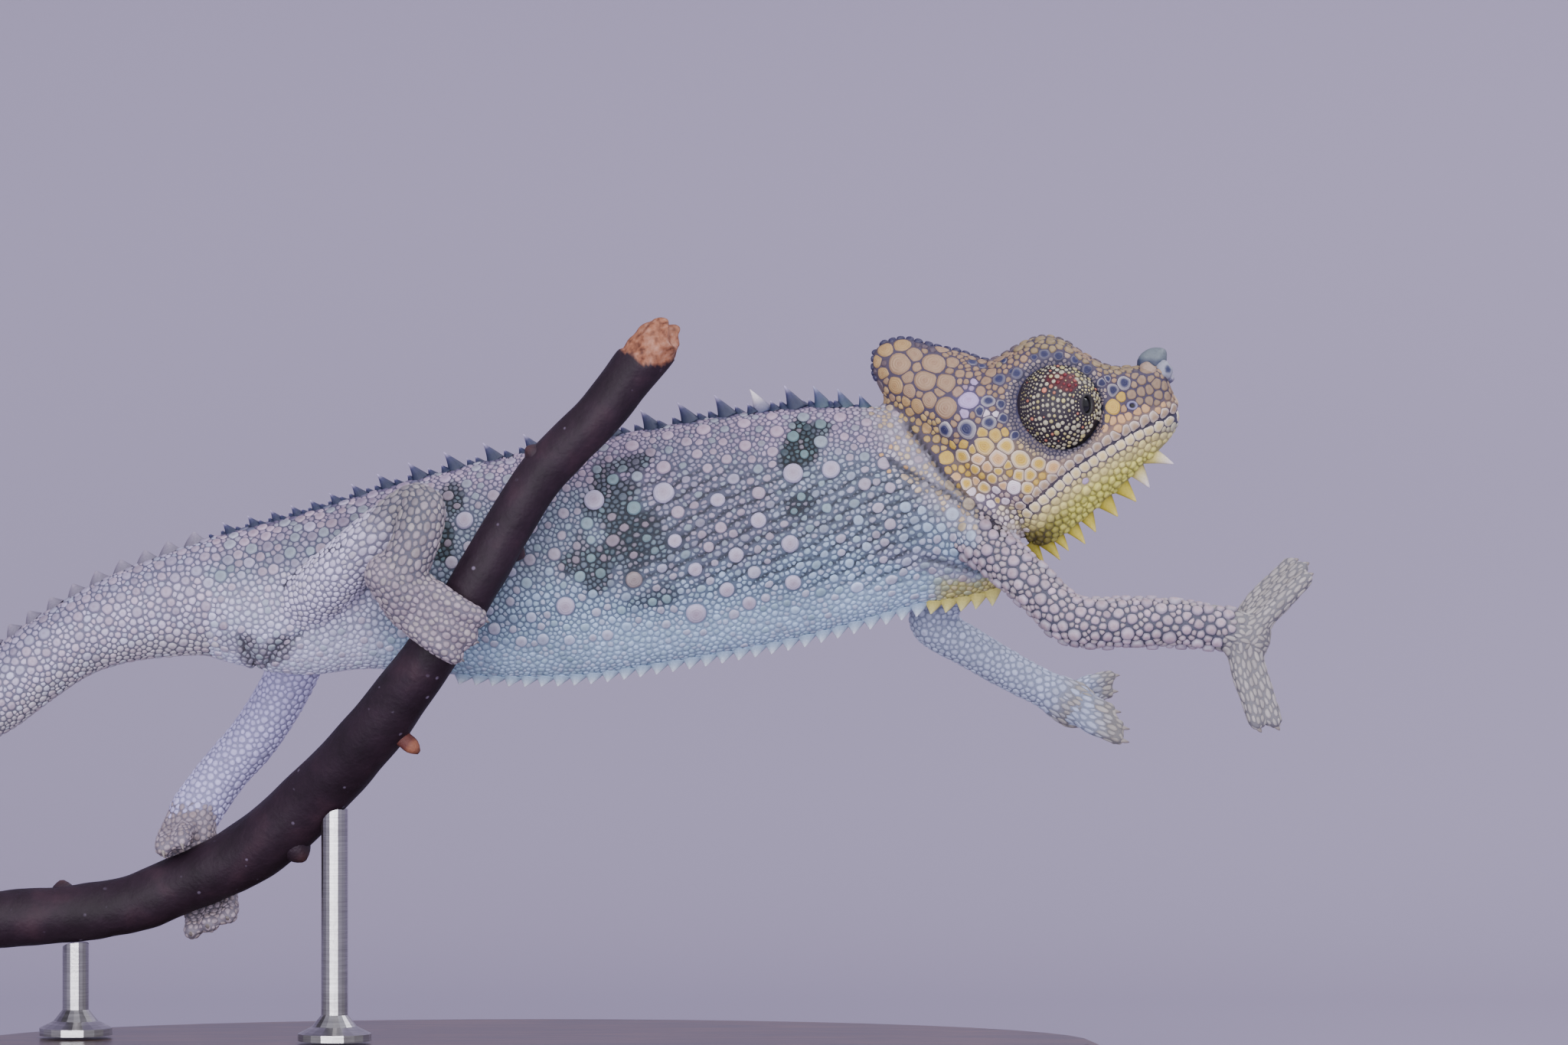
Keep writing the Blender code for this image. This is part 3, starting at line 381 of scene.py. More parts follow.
handShapes = {
    "handRight": {
        "wrist": (67.2, -9.2, 47.6), "palm": (68.9, -8.9, 46.9),
        "bundles": (
            (3, (71.2, -7.4, 49.6), (75, -5.6, 53.3), (-0.30, 0.88, 0.36), 1.2),
            (2, (69.7, -9.9, 43.4), (71.3, -10.6, 38.4), (0.95, 0.25, 0.10), 1.15),
        ),
    },
    "handLeft": {
        "wrist": (51.4, 12, 40.9), "palm": (53, 12.2, 40),
        "bundles": (
            (2, (54.8, 14.4, 40.9), (57.6, 16.6, 41.6), (0.10, 0.10, 0.98), 1),
            (3, (54.9, 10.6, 38.9), (58, 9.4, 37.6), (-0.25, 0.35, 0.90), 1),
        ),
    },
}
toeSpacing = 1.6
claws = []  # root, direction and the way it bends: filled as the toes are made


def toeForm(label, path, radius, curl):
    path = np.array(path, float)
    size = np.linspace(radius * 1.05, radius * 0.82, len(path))
    ahead = unit(path[-1] - path[-2])
    claws.append((path[-1] + ahead * radius * 0.3, ahead, np.array(curl, float)))
    return tubeForm(label, path, size, size, 14, 0.4, rounded=(False, True))


def fromMiddle(toes, k):
    return k - (toes - 1) / 2


def footForms(label, plan):
    here, after = curveAt(branchKeys, [plan["at"], plan["at"] + 0.5])
    centre, radius = here[:3], here[3] + 0.3
    axis = unit(after[:3] - here[:3])
    sole = np.array(plan["sole"], float)
    sole = unit(sole - axis * (axis @ sole))
    across = np.cross(axis, sole)
    wide, thick = plan["size"]
    palm = centre + sole * (radius + thick)
    ankle = np.array(plan["ankle"], float)
    inward = unit(palm - ankle)
    path = (ankle - inward * 1.2, ankle + inward * 1.2, palm + inward * 0.8)
    forms = [tubeForm(label, path, (wide * 0.72, wide * 0.92, wide), (thick * 1.15, thick * 1.2, thick),
                      across=axis)]
    for toes, first, last, offset, size in plan["bundles"]:
        for k in range(toes):
            away = fromMiddle(toes, k)
            shift = away * size * toeSpacing
            turns = np.radians(np.linspace(first, last * (1 - 0.05 * abs(away)), 6))
            path = [
                centre + axis * (offset * min(1, i / 3) + shift * (0.85 + 0.03 * i))
                + (sole * cos(w) + across * sin(w)) * (radius + size * 1.06)
                for i, w in enumerate(turns)
            ]
            curl = -(sole * cos(turns[-1]) + across * sin(turns[-1])) * 0.3
            forms.append(toeForm(label, path, size, curl))
    return forms


def handForms(label, plan):
    wrist, palm = np.array(plan["wrist"], float), np.array(plan["palm"], float)
    inward = unit(palm - wrist)
    path = (wrist - inward * 1.2, wrist + inward * 0.8, palm + inward * 1.0)
    forms = [tubeForm(label, path, (1.7, 2.1, 2.2), (1.8, 2.3, 2.5))]
    middle = sum(np.array(b[2]) for b in plan["bundles"]) / len(plan["bundles"])
    for toes, knuckle, tip, row, size in plan["bundles"]:
        knuckle, tip, row = np.array(knuckle, float), np.array(tip, float), unit(row)
        for k in range(toes):
            away = fromMiddle(toes, k)
            shift = row * away * size * toeSpacing * 0.9
            short = unit(tip - knuckle) * 0.5 * abs(away)
            path = (palm + shift * 0.6, knuckle + shift, (knuckle + tip) / 2 + shift * 1.05,
                    tip + shift * 1.1 - short)
            forms.append(toeForm(label, path, size, unit(middle - tip)))
    return forms


forms = [trunkForm(), headForm(), tailForm()]
for label, keys in limbShapes.items():
    keys = np.array(keys, float)
    forms.append(tubeForm(label, keys[:, :3], keys[:, 3], keys[:, 4], 26, 0.5))
for label, plan in footShapes.items():
    forms += footForms(label, plan)
for label, plan in handShapes.items():
    forms += handForms(label, plan)
labels = sorted({f["label"] for f in forms})
print("forms made:", len(forms))


# one skin over all the forms: fused, smoothed, then drawn in by the depth of the scales

skinPlan = {
    "voxel": 0.38, "smoothing": 10, "shrink": 0.5, "swell": -0.52,
    "depth": 0.24, "toes": 0.7, "tailTip": 0.5, "wrinkle": 0.08,
    "mouth": 0.3, "mouthWidth": 0.22, "mouthStart": (47.6, 48.6),
}


def fuseForms():
    points, quads, threes, first = [], [], [], 0
    for form in forms:
        rows, around = form["rings"].shape[:2]
        count = rows * around
        points += [form["rings"].reshape(-1, 3), form["rings"][[0, -1]].mean(1)]
        quads.append(stripFaces(rows, around, first))
        k = np.arange(around)
        n = (k + 1) % around
        last = first + count - around
        for a, b, tip in ((first + n, first + k, first + count), (last + k, last + n, first + count + 1)):
            threes.append(np.stack([a, b, np.full(around, tip)], -1))
        first += count + 2
    rough = buildMesh("rough", np.vstack(points), np.vstack(quads), np.vstack(threes))
    rough = linkNew("rough", rough)
    fuse = rough.modifiers.new("fuse", "REMESH")
    fuse.mode = "VOXEL"
    fuse.voxel_size = skinPlan["voxel"] * mm
    graph = bpy.context.evaluated_depsgraph_get()
    mesh = bpy.data.meshes.new_from_object(rough.evaluated_get(graph))
    bpy.data.objects.remove(rough)
    return mesh


def readMesh(mesh):
    points = np.zeros(len(mesh.vertices) * 3)
    mesh.vertices.foreach_get("co", points)
    loops = np.zeros(len(mesh.loops), np.int32)
    mesh.loops.foreach_get("vertex_index", loops)
    edges = np.zeros(len(mesh.edges) * 2, np.int32)
    mesh.edges.foreach_get("vertices", edges)
    return points.reshape(-1, 3) / mm, loops.reshape(-1, 4), edges.reshape(-1, 2)


def normalsOf(points, quads):
    a, b, c, d = (points[quads[:, k]] for k in range(4))
    face = np.cross(c - a, d - b)
    total = np.zeros_like(points)
    for k in range(4):
        np.add.at(total, quads[:, k], face)
    return unit(total)


skinPoints, skinQuads, skinEdges = readMesh(fuseForms())
valence = np.bincount(skinEdges.ravel(), minlength=len(skinPoints))[:, None]


def relaxed(points, share):
    total = np.zeros_like(points)
    for one, two in ((0, 1), (1, 0)):
        np.add.at(total, skinEdges[:, one], points[skinEdges[:, two]])
    return points + (total / valence - points) * share


for turn in range(skinPlan["smoothing"]):
    skinPoints = relaxed(relaxed(skinPoints, skinPlan["shrink"]), skinPlan["swell"])
print("skin fused:", len(skinPoints), "points")

# every point of the skin learns which form it lies on, and where on it
formPoints = np.vstack([f["rings"].reshape(-1, 3) for f in forms])
formIndex, formAhead, formPlace, formTurn = [], [], [], []
for index, form in enumerate(forms):
    rows, around = form["rings"].shape[:2]
    formIndex.append(np.full(rows * around, index))
    formAhead.append(np.repeat(form["ahead"], around, axis=0))
    formPlace.append(np.repeat(np.linspace(0, 1, rows), around))
    formTurn.append(np.tile(np.arange(around) / around, rows))
formIndex, formPlace, formTurn = (np.concatenate(v) for v in (formIndex, formPlace, formTurn))
formAhead = np.vstack(formAhead)
nearest = nearestIn(makeTree(formPoints), skinPoints)
skinLabel = np.array([labels.index(f["label"]) for f in forms])[formIndex[nearest]]
skinNormals = normalsOf(skinPoints, skinQuads)


def isLabel(ids, *names):
    return np.isin(ids, [labels.index(n) for n in names])


def lineDistance(points, line):  # distance in side view to a polyline, and the side of it
    flat = points[:, (0, 2)]
    best = np.full(len(points), 1e9)
    above = np.zeros(len(points))
    for a, b in zip(np.array(line[:-1]), np.array(line[1:])):
        way = b - a
        t = np.clip(((flat - a) @ way) / (way @ way), 0, 1)
        gap = flat - a - t[:, None] * way
        size = np.linalg.norm(gap, axis=1)
        closer = size < best
        best[closer] = size[closer]
        above[closer] = np.sign(way[0] * gap[closer, 1] - way[1] * gap[closer, 0])
    return best, above


wrinklePlan = {"tilt": 25, "pitch": 5.2, "edge": (0.35, 0.95), "from": (7, 13), "to": (36, 41),
               "bottom": (49.5, 53), "top": (61, 65)}


def wrinkle(p):  # slanting lines of wider grooves over the middle of the flank
    plan, x, z = wrinklePlan, p[:, 0], p[:, 2]
    turn = radians(plan["tilt"])
    u = x * cos(turn) + z * sin(turn)
    v = z * cos(turn) - x * sin(turn)
    wave = np.sin(v * plan["pitch"] + 0.9 * np.sin(u * 0.55) + 0.5 * np.sin(u * 1.7 + v))
    here = softStep(*plan["from"], x) * (1 - softStep(*plan["to"], x))
    here = here * softStep(*plan["bottom"], z) * (1 - softStep(*plan["top"], z))
    return here * softStep(*plan["edge"], wave)


def mouthDistance(points):  # above is 1 over the closed mouth and -1 under it
    gap, side = lineDistance(points, headShape["mouth"])
    return gap, -side


def turretDistance(p):  # from the middle of the turret in side view
    return np.hypot(p[:, 0] - eyePlan["centre"][0], p[:, 2] - eyePlan["centre"][2])


def foldDistance(p):  # to the nearest of the folds beside the head
    return np.min([lineDistance(p, line)[0] for line, *_ in foldPlan[:3]], axis=0)


eyePlan = {
    "centre": (51.3, 3, 69), "radius": 4.4, "forward": 44, "lift": 3, "socket": 0.45,
    "ballOut": 2.76, "ballRadius": 1.5, "pupil": 33, "iris": 38,
    "under": (0.72, 0.35, -0.62),  # where the socket is deepest
}
headRear = (
    (34.7, 70.6), (36.8, 67.4), (38.9, 64.5), (40.4, 62.3), (42.9, 59.8), (44.6, 58.5), (46.7, 56.4),
)
x, z = skinPoints[:, 0], skinPoints[:, 2]
_, ahead = lineDistance(skinPoints, headRear)
onHead = isLabel(skinLabel, "trunk", "armRight", "armLeft") & (ahead > 0) & (x > 35.2)
skinLabel[onHead & (z > 57.0) & (z < 71.5)] = labels.index("head")
skinLabel[isLabel(skinLabel, "armRight", "armLeft") & (x < 43.6) & (z > 55.6)] = labels.index("trunk")
foldPlan = (  # side-view line, height of the ridge, depth of the crease behind it, its width
    (((35.2, 63.9), (36.3, 63), (40.8, 60.6), (43.8, 58.4), (46.4, 56.2)), 0.12, 0.45, 0.55),
    (headRear[1:], 0.06, 0.42, 0.45), (((38.6, 54.2), (41.9, 53.4), (44.2, 52.9)), 0.1, 0.4, 0.5),
    (((-28.3, 46.4), (-27.6, 45), (-26.9, 43.4)), 0.12, 0.4, 0.5),
    (((-25.9, 43.6), (-24.4, 45.5), (-22, 47)), 0.15, 0.45, 0.55),
    (((-24, 51.5), (-21, 54.4), (-18, 55.6)), 0.12, 0.3, 0.6),
)


def shapeSkin():
    move = np.full(len(skinPoints), -skinPlan["depth"])
    onTail = isLabel(skinLabel, "tail")
    move[onTail] *= 1 - skinPlan["tailTip"] * softStep(0.8, 1.0, formPlace[nearest][onTail])
    move[isLabel(skinLabel, "footLeft", "footRight", "handLeft", "handRight")] *= skinPlan["toes"]
    mouthGap, _ = mouthDistance(skinPoints)
    groove = skinPlan["mouth"] * np.exp(-(mouthGap / skinPlan["mouthWidth"]) ** 2)
    groove = groove * softStep(*skinPlan["mouthStart"], skinPoints[:, 0])
    move -= np.where(isLabel(skinLabel, "head"), groove, 0)
    bodyOnly = isLabel(skinLabel, "trunk", "tail", "head")
    for line, ridge, crease, width in foldPlan:
        gap, front = lineDistance(skinPoints, line)
        ridge = ridge * np.exp(-((gap - width) / (0.6 * width)) ** 2) * (front < 0)
        crease = crease * np.exp(-(gap / (0.5 * width)) ** 2)
        move += np.where(bodyOnly, ridge - crease, 0)
    move -= isLabel(skinLabel, "trunk") * skinPlan["wrinkle"] * wrinkle(skinPoints)
    shaped = skinPoints + skinNormals * move[:, None]
    for sign in (1, -1):
        away = shaped - mirrored(eyePlan["centre"], sign)
        size = np.linalg.norm(away, axis=1)
        low = np.clip(unit(away) @ unit(mirrored(eyePlan["under"], sign)), 0, 1)
        reach = eyePlan["radius"] + eyePlan["socket"] * (0.08 + 1.5 * low ** 3)
        near = (size < reach) & (np.sign(shaped[:, 1]) == sign)
        push = (reach - size) * (0.9 + 0.9 * low ** 2) + 0.02 + 0.4 * low ** 2
        shaped[near, 1] -= sign * np.minimum(1.2, push[near])
    return shaped


skinPoints = shapeSkin()
skinNormals = normalsOf(skinPoints, skinQuads)
skinTree = BVHTree.FromPolygons([Vector(p) for p in skinPoints], skinQuads.tolist())
print("skin shaped")


# scales listed one by one where the real ones stand out: side-view x and z, radius

headTiles = {
    "ochre": ((34.6, 74.8, 0.8), (36.4, 75.3, 0.8), (33.8, 73.6, 0.63), (35.7, 71.2, 0.88),
        (37.9, 69.2, 0.72), (34.5, 72.4, 0.55), (36.7, 69.6, 0.51), (37.1, 68.6, 0.46), (38.8, 67, 0.55),
        (38, 67.6, 0.36), (39.3, 68.2, 0.29)),
    "tan": ((38.4, 75.2, 0.88), (40.3, 74.8, 0.67), (41.7, 74.6, 0.46), (37.6, 74.3, 0.72),
        (36.1, 73.3, 1.14), (39.5, 73.4, 1.22), (41.3, 73.5, 0.67), (38.6, 71.7, 1.14), (36.9, 72, 0.55),
        (40.7, 71.5, 0.95), (37.1, 70.7, 0.67), (38.1, 70.4, 0.38), (39, 69.8, 0.8), (40.6, 69, 1.09),
        (40, 70.6, 0.42), (37.9, 73, 0.38), (41.9, 70.7, 0.46), (42.5, 74.3, 0.42), (43.5, 74.1, 0.38),
        (42.1, 72.4, 0.46), (42.9, 72.3, 0.38), (44.1, 70.7, 0.51), (35.4, 70, 0.38), (34.8, 71.7, 0.34),
        (43.8, 72.4, 0.34)),
    "lilac": ((42.9, 69.8, 0.88), (42.5, 68.4, 0.42), (43.4, 71.6, 0.34), (54.3, 61.9, 0.34)),
    "navy": ((40.6, 66.9, 0.72), (42.7, 67, 0.93), (44.9, 67.6, 0.72), (39.3, 67.8, 0.42),
        (44.9, 69.7, 0.55), (46.1, 69.4, 0.46), (46.3, 68, 0.51), (44, 68.6, 0.46), (45.9, 71.8, 0.59),
        (47.6, 72.4, 0.59), (43.2, 73.5, 0.46), (44.2, 73.1, 0.34), (47.5, 66.4, 0.42),
        (47.1, 72.6, 0.29), (55.9, 71.5, 0.46), (58.1, 71.5, 0.67), (57, 70.8, 0.55), (54.5, 72.8, 0.51),
        (53.3, 73.7, 0.42), (51.7, 74.1, 0.51), (50.3, 74.3, 0.55), (49.3, 74, 0.34), (45.5, 74.2, 0.34),
        (46.3, 73.6, 0.38), (56.5, 71.9, 0.34)),
    "yellow": ((44.4, 65.3, 0.88), (46.6, 65.3, 0.74), (45.5, 66.4, 0.63), (44.3, 66.6, 0.51),
        (46.4, 66.7, 0.42), (48, 64, 0.93), (49.8, 63.6, 0.67), (43.5, 63, 0.51), (50.1, 62, 0.76),
        (47.8, 62.4, 0.53), (48.9, 62.4, 0.57), (44.4, 61.2, 0.63), (42.7, 61.6, 0.57),
        (45.2, 62.1, 0.51), (48.7, 61.1, 0.67), (47.9, 60, 0.67), (42.3, 65.4, 0.42), (43.3, 64.9, 0.36),
        (42.3, 64.3, 0.72), (40.8, 64.2, 0.67), (57, 69.1, 0.76), (57.8, 70.1, 0.42), (56.4, 68, 0.44),
        (54.2, 64.5, 0.5), (46.7, 63.4, 0.42), (41.3, 65.4, 0.34), (45.7, 60, 0.34), (45.8, 62.8, 0.38)),
    "peach": ((45.8, 64, 0.8), (43.8, 64, 0.55), (44.7, 63.2, 0.51), (51.2, 63.2, 0.76),
        (55.6, 65.4, 0.58), (57.6, 66.9, 0.51), (58.8, 66.8, 0.55), (56.8, 66, 0.46), (57.9, 67.9, 0.42),
        (41.7, 62.3, 0.38), (43.6, 61.8, 0.38), (46.3, 61.4, 0.42), (56.2, 67, 0.42), (59.6, 67.8, 0.51),
        (60.6, 68.2, 0.46), (61.5, 68.7, 0.42), (59.4, 68.7, 0.42), (60.2, 69, 0.38), (58.5, 68.2, 0.38),
        (62, 69.2, 0.34), (57, 67.8, 0.38)),
    "pale": ((47.3, 61.2, 0.72), (46.5, 59.9, 0.46), (45.6, 60.9, 0.42), (45.1, 59.6, 0.46),
        (44.1, 60.3, 0.42), (43.2, 60.9, 0.38), (44.6, 68.4, 0.38), (45.5, 68.4, 0.29)),
    "brow": ((47.8, 74.8, 0.55), (48.8, 75.2, 0.51), (49.9, 75.8, 0.51), (50.9, 75.5, 0.51),
        (52, 75.5, 0.46), (49.3, 74.6, 0.38), (50.3, 75, 0.38), (47.1, 75.1, 0.46), (48.2, 75.6, 0.38),
        (51.1, 74.8, 0.38), (52.7, 74.7, 0.42), (53.7, 74, 0.38), (46.5, 74.3, 0.34), (47.6, 74, 0.29),
        (55.4, 73.3, 0.51), (56.2, 73, 0.46), (57.2, 72.9, 0.51), (58.1, 73, 0.51), (58.8, 73.2, 0.42),
        (54.3, 73.6, 0.34), (45.9, 73.3, 0.38), (56.7, 73.5, 0.34), (57.8, 73.5, 0.34)),
    "snout": ((60.3, 72.8, 0.72), (59.8, 71.8, 0.51), (61.3, 71.4, 0.55), (62.1, 71.2, 0.51),
        (60.6, 70.8, 0.46), (59.8, 70.6, 0.46), (61.5, 70.3, 0.46), (62.4, 70.2, 0.46),
        (59.2, 72.2, 0.42), (58.9, 70.3, 0.46), (59.6, 69.7, 0.38), (60.6, 69.7, 0.42),
        (61.7, 69.5, 0.38), (62.3, 72, 0.38), (60.8, 71.9, 0.38)),
}
flankStuds = {
    "pale": ((6.2, 60, 1.15), (13, 60.7, 1.2), (25.7, 62.6, 1.1), (29.4, 63, 1), (25.4, 55.7, 0.95),
        (25.7, 51.9, 0.85), (16.2, 48.9, 1.15), (3.4, 49.6, 1.05), (14.1, 56, 0.85), (16.1, 53.2, 0.85),
        (19.2, 51.2, 0.8), (22.3, 58, 0.85), (18.3, 60, 0.85), (-6.5, 58, 1), (20.1, 54.6, 0.8),
        (21.4, 49.9, 0.75)),
    "pink": ((16.9, 66.9, 0.78), (9.9, 65.3, 0.75), (13.4, 66.3, 0.65), (20.9, 67.5, 0.7),
        (21, 65.3, 0.65), (23.6, 68.2, 0.6), (24.1, 66.7, 0.75), (30.3, 68.1, 0.7), (32.9, 67.6, 0.55),
        (30.7, 66.2, 0.5), (34.6, 63.6, 0.7), (32.7, 61.6, 0.65), (22.3, 60.7, 0.7), (18.6, 57.3, 0.6),
        (14.4, 58.8, 0.7), (17.4, 55.4, 0.55), (21.9, 52.9, 0.7), (13, 63.2, 0.75), (2.3, 54.7, 0.7),
        (3, 56.5, 0.5), (35.2, 57.6, 0.6), (7.5, 46.8, 0.6), (19.9, 48.8, 0.55), (23, 50.4, 0.5),
        (3.2, 58.7, 0.6), (19.2, 64, 0.55), (16.3, 64.5, 0.55), (17.3, 63.1, 0.55), (11.3, 66.4, 0.5),
        (35.2, 61.2, 0.55)),
    "green": ((26.7, 68.1, 0.65), (28.4, 67.4, 0.6), (25.7, 66.2, 0.65), (28.4, 65.7, 0.75),
        (26.8, 64.5, 0.5), (29, 59.2, 0.6), (26.5, 60.3, 0.55), (25.8, 58.9, 0.5), (10.1, 59.2, 0.75),
        (5.5, 57.7, 0.7), (8, 62, 0.6), (5.9, 56.1, 0.5), (5.9, 54.3, 0.5), (4.8, 52.5, 0.6),
        (13.3, 50.3, 0.5), (11.9, 50, 0.5), (8.9, 49.2, 0.5), (28.5, 61.6, 0.45), (10.4, 62.3, 0.6)),
    "blue": ((32.1, 58, 0.55), (36.7, 59.3, 0.6), (31.2, 53.8, 0.5), (29.7, 52.3, 0.45),
        (32.9, 55.4, 0.5), (25.9, 49.2, 0.5), (11.6, 47.8, 0.45), (6.1, 50.8, 0.5), (1.8, 53, 0.5),
        (35.5, 57.7, 0.6), (41.3, 58.6, 0.75), (43.1, 56.5, 0.6), (38.9, 57.3, 0.5), (40.2, 57.3, 0.5),
        (38.3, 59, 0.45)),
    "brown": ((10.1, 52.2, 0.9),),
}
kinds = ["plain", "hole", "upperLip", "lowerLip", "ridge"] + sorted({*headTiles, *flankStuds})
eyeSpot = np.array((24.8, -675.0, 57.8))  # where the picture is seen from, in millimetres


def onSkin(x, z, sign=-1):  # the skin seen at this place in the picture, or its mirror image
    target = np.array((x, 0.0, z))
    hit, normal, _, _ = skinTree.ray_cast(Vector(eyeSpot), Vector(unit(target - eyeSpot)))
    if hit is None:
        hit, normal, _, _ = skinTree.find_nearest(Vector(target))
    if sign > 0:
        hit, normal, _, _ = skinTree.find_nearest(Vector((hit.x, -hit.y, hit.z)))
    return np.array(hit), np.array(normal)


placed = []  # place, normal, radius, kind
nostrilSpot = (58.9, 69.25)
lipPlan = {"start": 47.9, "reach": 0.85, "width": 1.05, "rise": 0.53, "radius": 0.53}


def setScale(p, n, r, kind):
    placed.append((np.array(p), np.array(n), r, kinds.index(kind)))


def nearSkin(x, y, z):
    return skinTree.find_nearest(Vector((x, y, z)))[:2]


def isFree(p, r, share=0.62):
    return all(np.linalg.norm(p - q[0]) > (r + q[2]) * share for q in placed)


def setByHand():
    x = np.arange(34.4, 58.6, 0.92)
    ridge = [(a, top, 0.4, 0.5) for a, top in zip(x, curveAt(headShape["rings"], x)[:, 0])]
    ridge += [(32.0, z, 0.36, 0.44) for z in np.arange(69.4, 75.0, 0.9)]
    for x, z, least, most in ridge:
        p, n = nearSkin(x, dice.uniform(-0.2, 0.2), z)
        setScale(p, n, dice.uniform(least, most), "ridge")
    line = chain([(x, 0, z) for x, z in headShape["mouth"][1:]])
    steps = np.arange(0.3, line[-1, 0] - 0.2, lipPlan["width"])
    spots = curveAt(line, steps)[:, (0, 2)]
    ways = unit(curveAt(line, steps + 0.05)[:, (0, 2)] - spots)
    for sign in (-1, 1):
        for (x, z), way in zip(spots, ways):
            up = np.array((-way[1], way[0])) * (-1 if way[0] < 0 else 1)
            for rise, kind in ((lipPlan["rise"], "upperLip"), (-lipPlan["rise"], "lowerLip")):
                shift = dice.uniform(-0.06, 0.06)
                p, n = onSkin(x + up[0] * rise + way[0] * shift, z + up[1] * rise + way[1] * shift, sign)
                setScale(p, n, lipPlan["radius"], kind)
        setScale(*onSkin(*nostrilSpot, sign), 0.55, "hole")
        for kind, tiles in [*headTiles.items(), *flankStuds.items()]:
            for x, z, r in tiles:
                nudge = dice.uniform(-0.25, 0.25, 2) if sign > 0 else (0, 0)
                p, n = onSkin(x + nudge[0], z + nudge[1], sign)
                if isFree(p, r):
                    setScale(p, n, r, kind)


# the crests: where each spine stands, how high it is, and the way it leans

crestPlan = {  # x, space to the next spine and its height, from the front backwards
    "back": (
        (32.6, 1.9, 1), (30, 2.3, 1.6), (25.6, 3.3, 2), (14.8, 3.7, 1.8), (0, 3.9, 1.55), (-9, 3.4, 1.6),
        (-14.6, 2.6, 1.3), (-20, 1.9, 0.9), (-26, 2.3, 0.9), (-33, 3, 1),
    ),
    "belly": ((45.2, 1.4, 1.2), (39, 1.5, 0.9), (30, 1.6, 0.8), (0, 1.6, 0.7), (-26, 1.7, 0.4)),
    "throat": ((61.9, 1.7, 2.1), (58, 1.7, 2.3), (54, 1.4, 1.9), (50, 1.2, 1.2), (47.6, 1.2, 0.8)),
    "throatLean": -64,
    "tailSpacing": (2.3, 1.4),
    "tailHeight": (1.05, 0.35),
}


def crestSpots(table, low=-99.0, high=99.0):
    keys = sorted(table)
    x, found = table[0][0], []
    while x > table[-1][0]:
        spacing, height = curveAt(keys, [x])[0]
        if low < x < high:
            found.append((x, height))
        x -= spacing
    return found


def sideView(x, z):
    return np.array((x, 0, z))


def crestRoots():
    spines = {"back": [], "belly": [], "throat": [], "tail": [], "small": []}
    for side, column, way, backward in (("back", 0, 1, 0.28), ("belly", 1, -1, 0.15)):
        for x, height in crestSpots(crestPlan[side], -31.0):
            row = curveAt(trunkShape["rings"], [x - 0.5, x, x + 0.5])[:, column]
            slope = atan2(row[2] - row[0], 1.0)
            ahead = sideView(cos(slope), sin(slope))
            lean = unit(sideView(-ahead[2], ahead[0]) * way - sideView(backward, 0))
            spines[side].append((sideView(x, row[1]), lean, ahead, height))
            if side == "back":
                for share in dice.uniform((0.25, 0.6), (0.4, 0.75)):
                    between = x - share * curveAt(sorted(crestPlan[side]), [x])[0, 0]
                    top = curveAt(trunkShape["rings"], [between])[0, column]
                    root = np.array((between, dice.uniform(-0.5, 0.5), top))
                    spines["small"].append((root, lean, ahead, 0.35 * height))
    lean = np.radians(crestPlan["throatLean"])
    lean = sideView(cos(lean), sin(lean))
    for x, height in crestSpots(crestPlan["throat"]):
        bottom = curveAt(headShape["rings"], [x])[0][-1]
        spines["throat"].append((sideView(x - 0.2, bottom), lean, unit(sideView(0.7, 0.7)), height))
    path = tailPath()
    place = 2.0
    while place < path[-1, 0] - 6.0:
        share = place / path[-1, 0]
        row, after = curveAt(path, [place, place + 0.05])
        ahead = unit(after[:3] - row[:3])
        up = np.cross(sideWay, ahead)
        height = np.interp(share, (0, 1), crestPlan["tailHeight"])
        spines["tail"].append((row[:3] + up * row[3], unit(up + ahead * 0.25), ahead, height))
        place += np.interp(share, (0, 1), crestPlan["tailSpacing"])
    return spines


spines = crestRoots()
for root, lean, _, height in spines["back"] + spines["tail"] + spines["throat"]:
    setScale(*nearSkin(*root), 0.3 * height + 0.18, "hole")
setByHand()
print("set by hand:", len(placed))


# the other scales are thrown at the skin, large ones first, where there is still room

def trunkPlace(p):  # how high on the side a place is, from belly to back
    back, belly, _ = curveAt(trunkShape["rings"], p[:, 0]).T
    return (p[:, 2] - belly) / (back - belly)


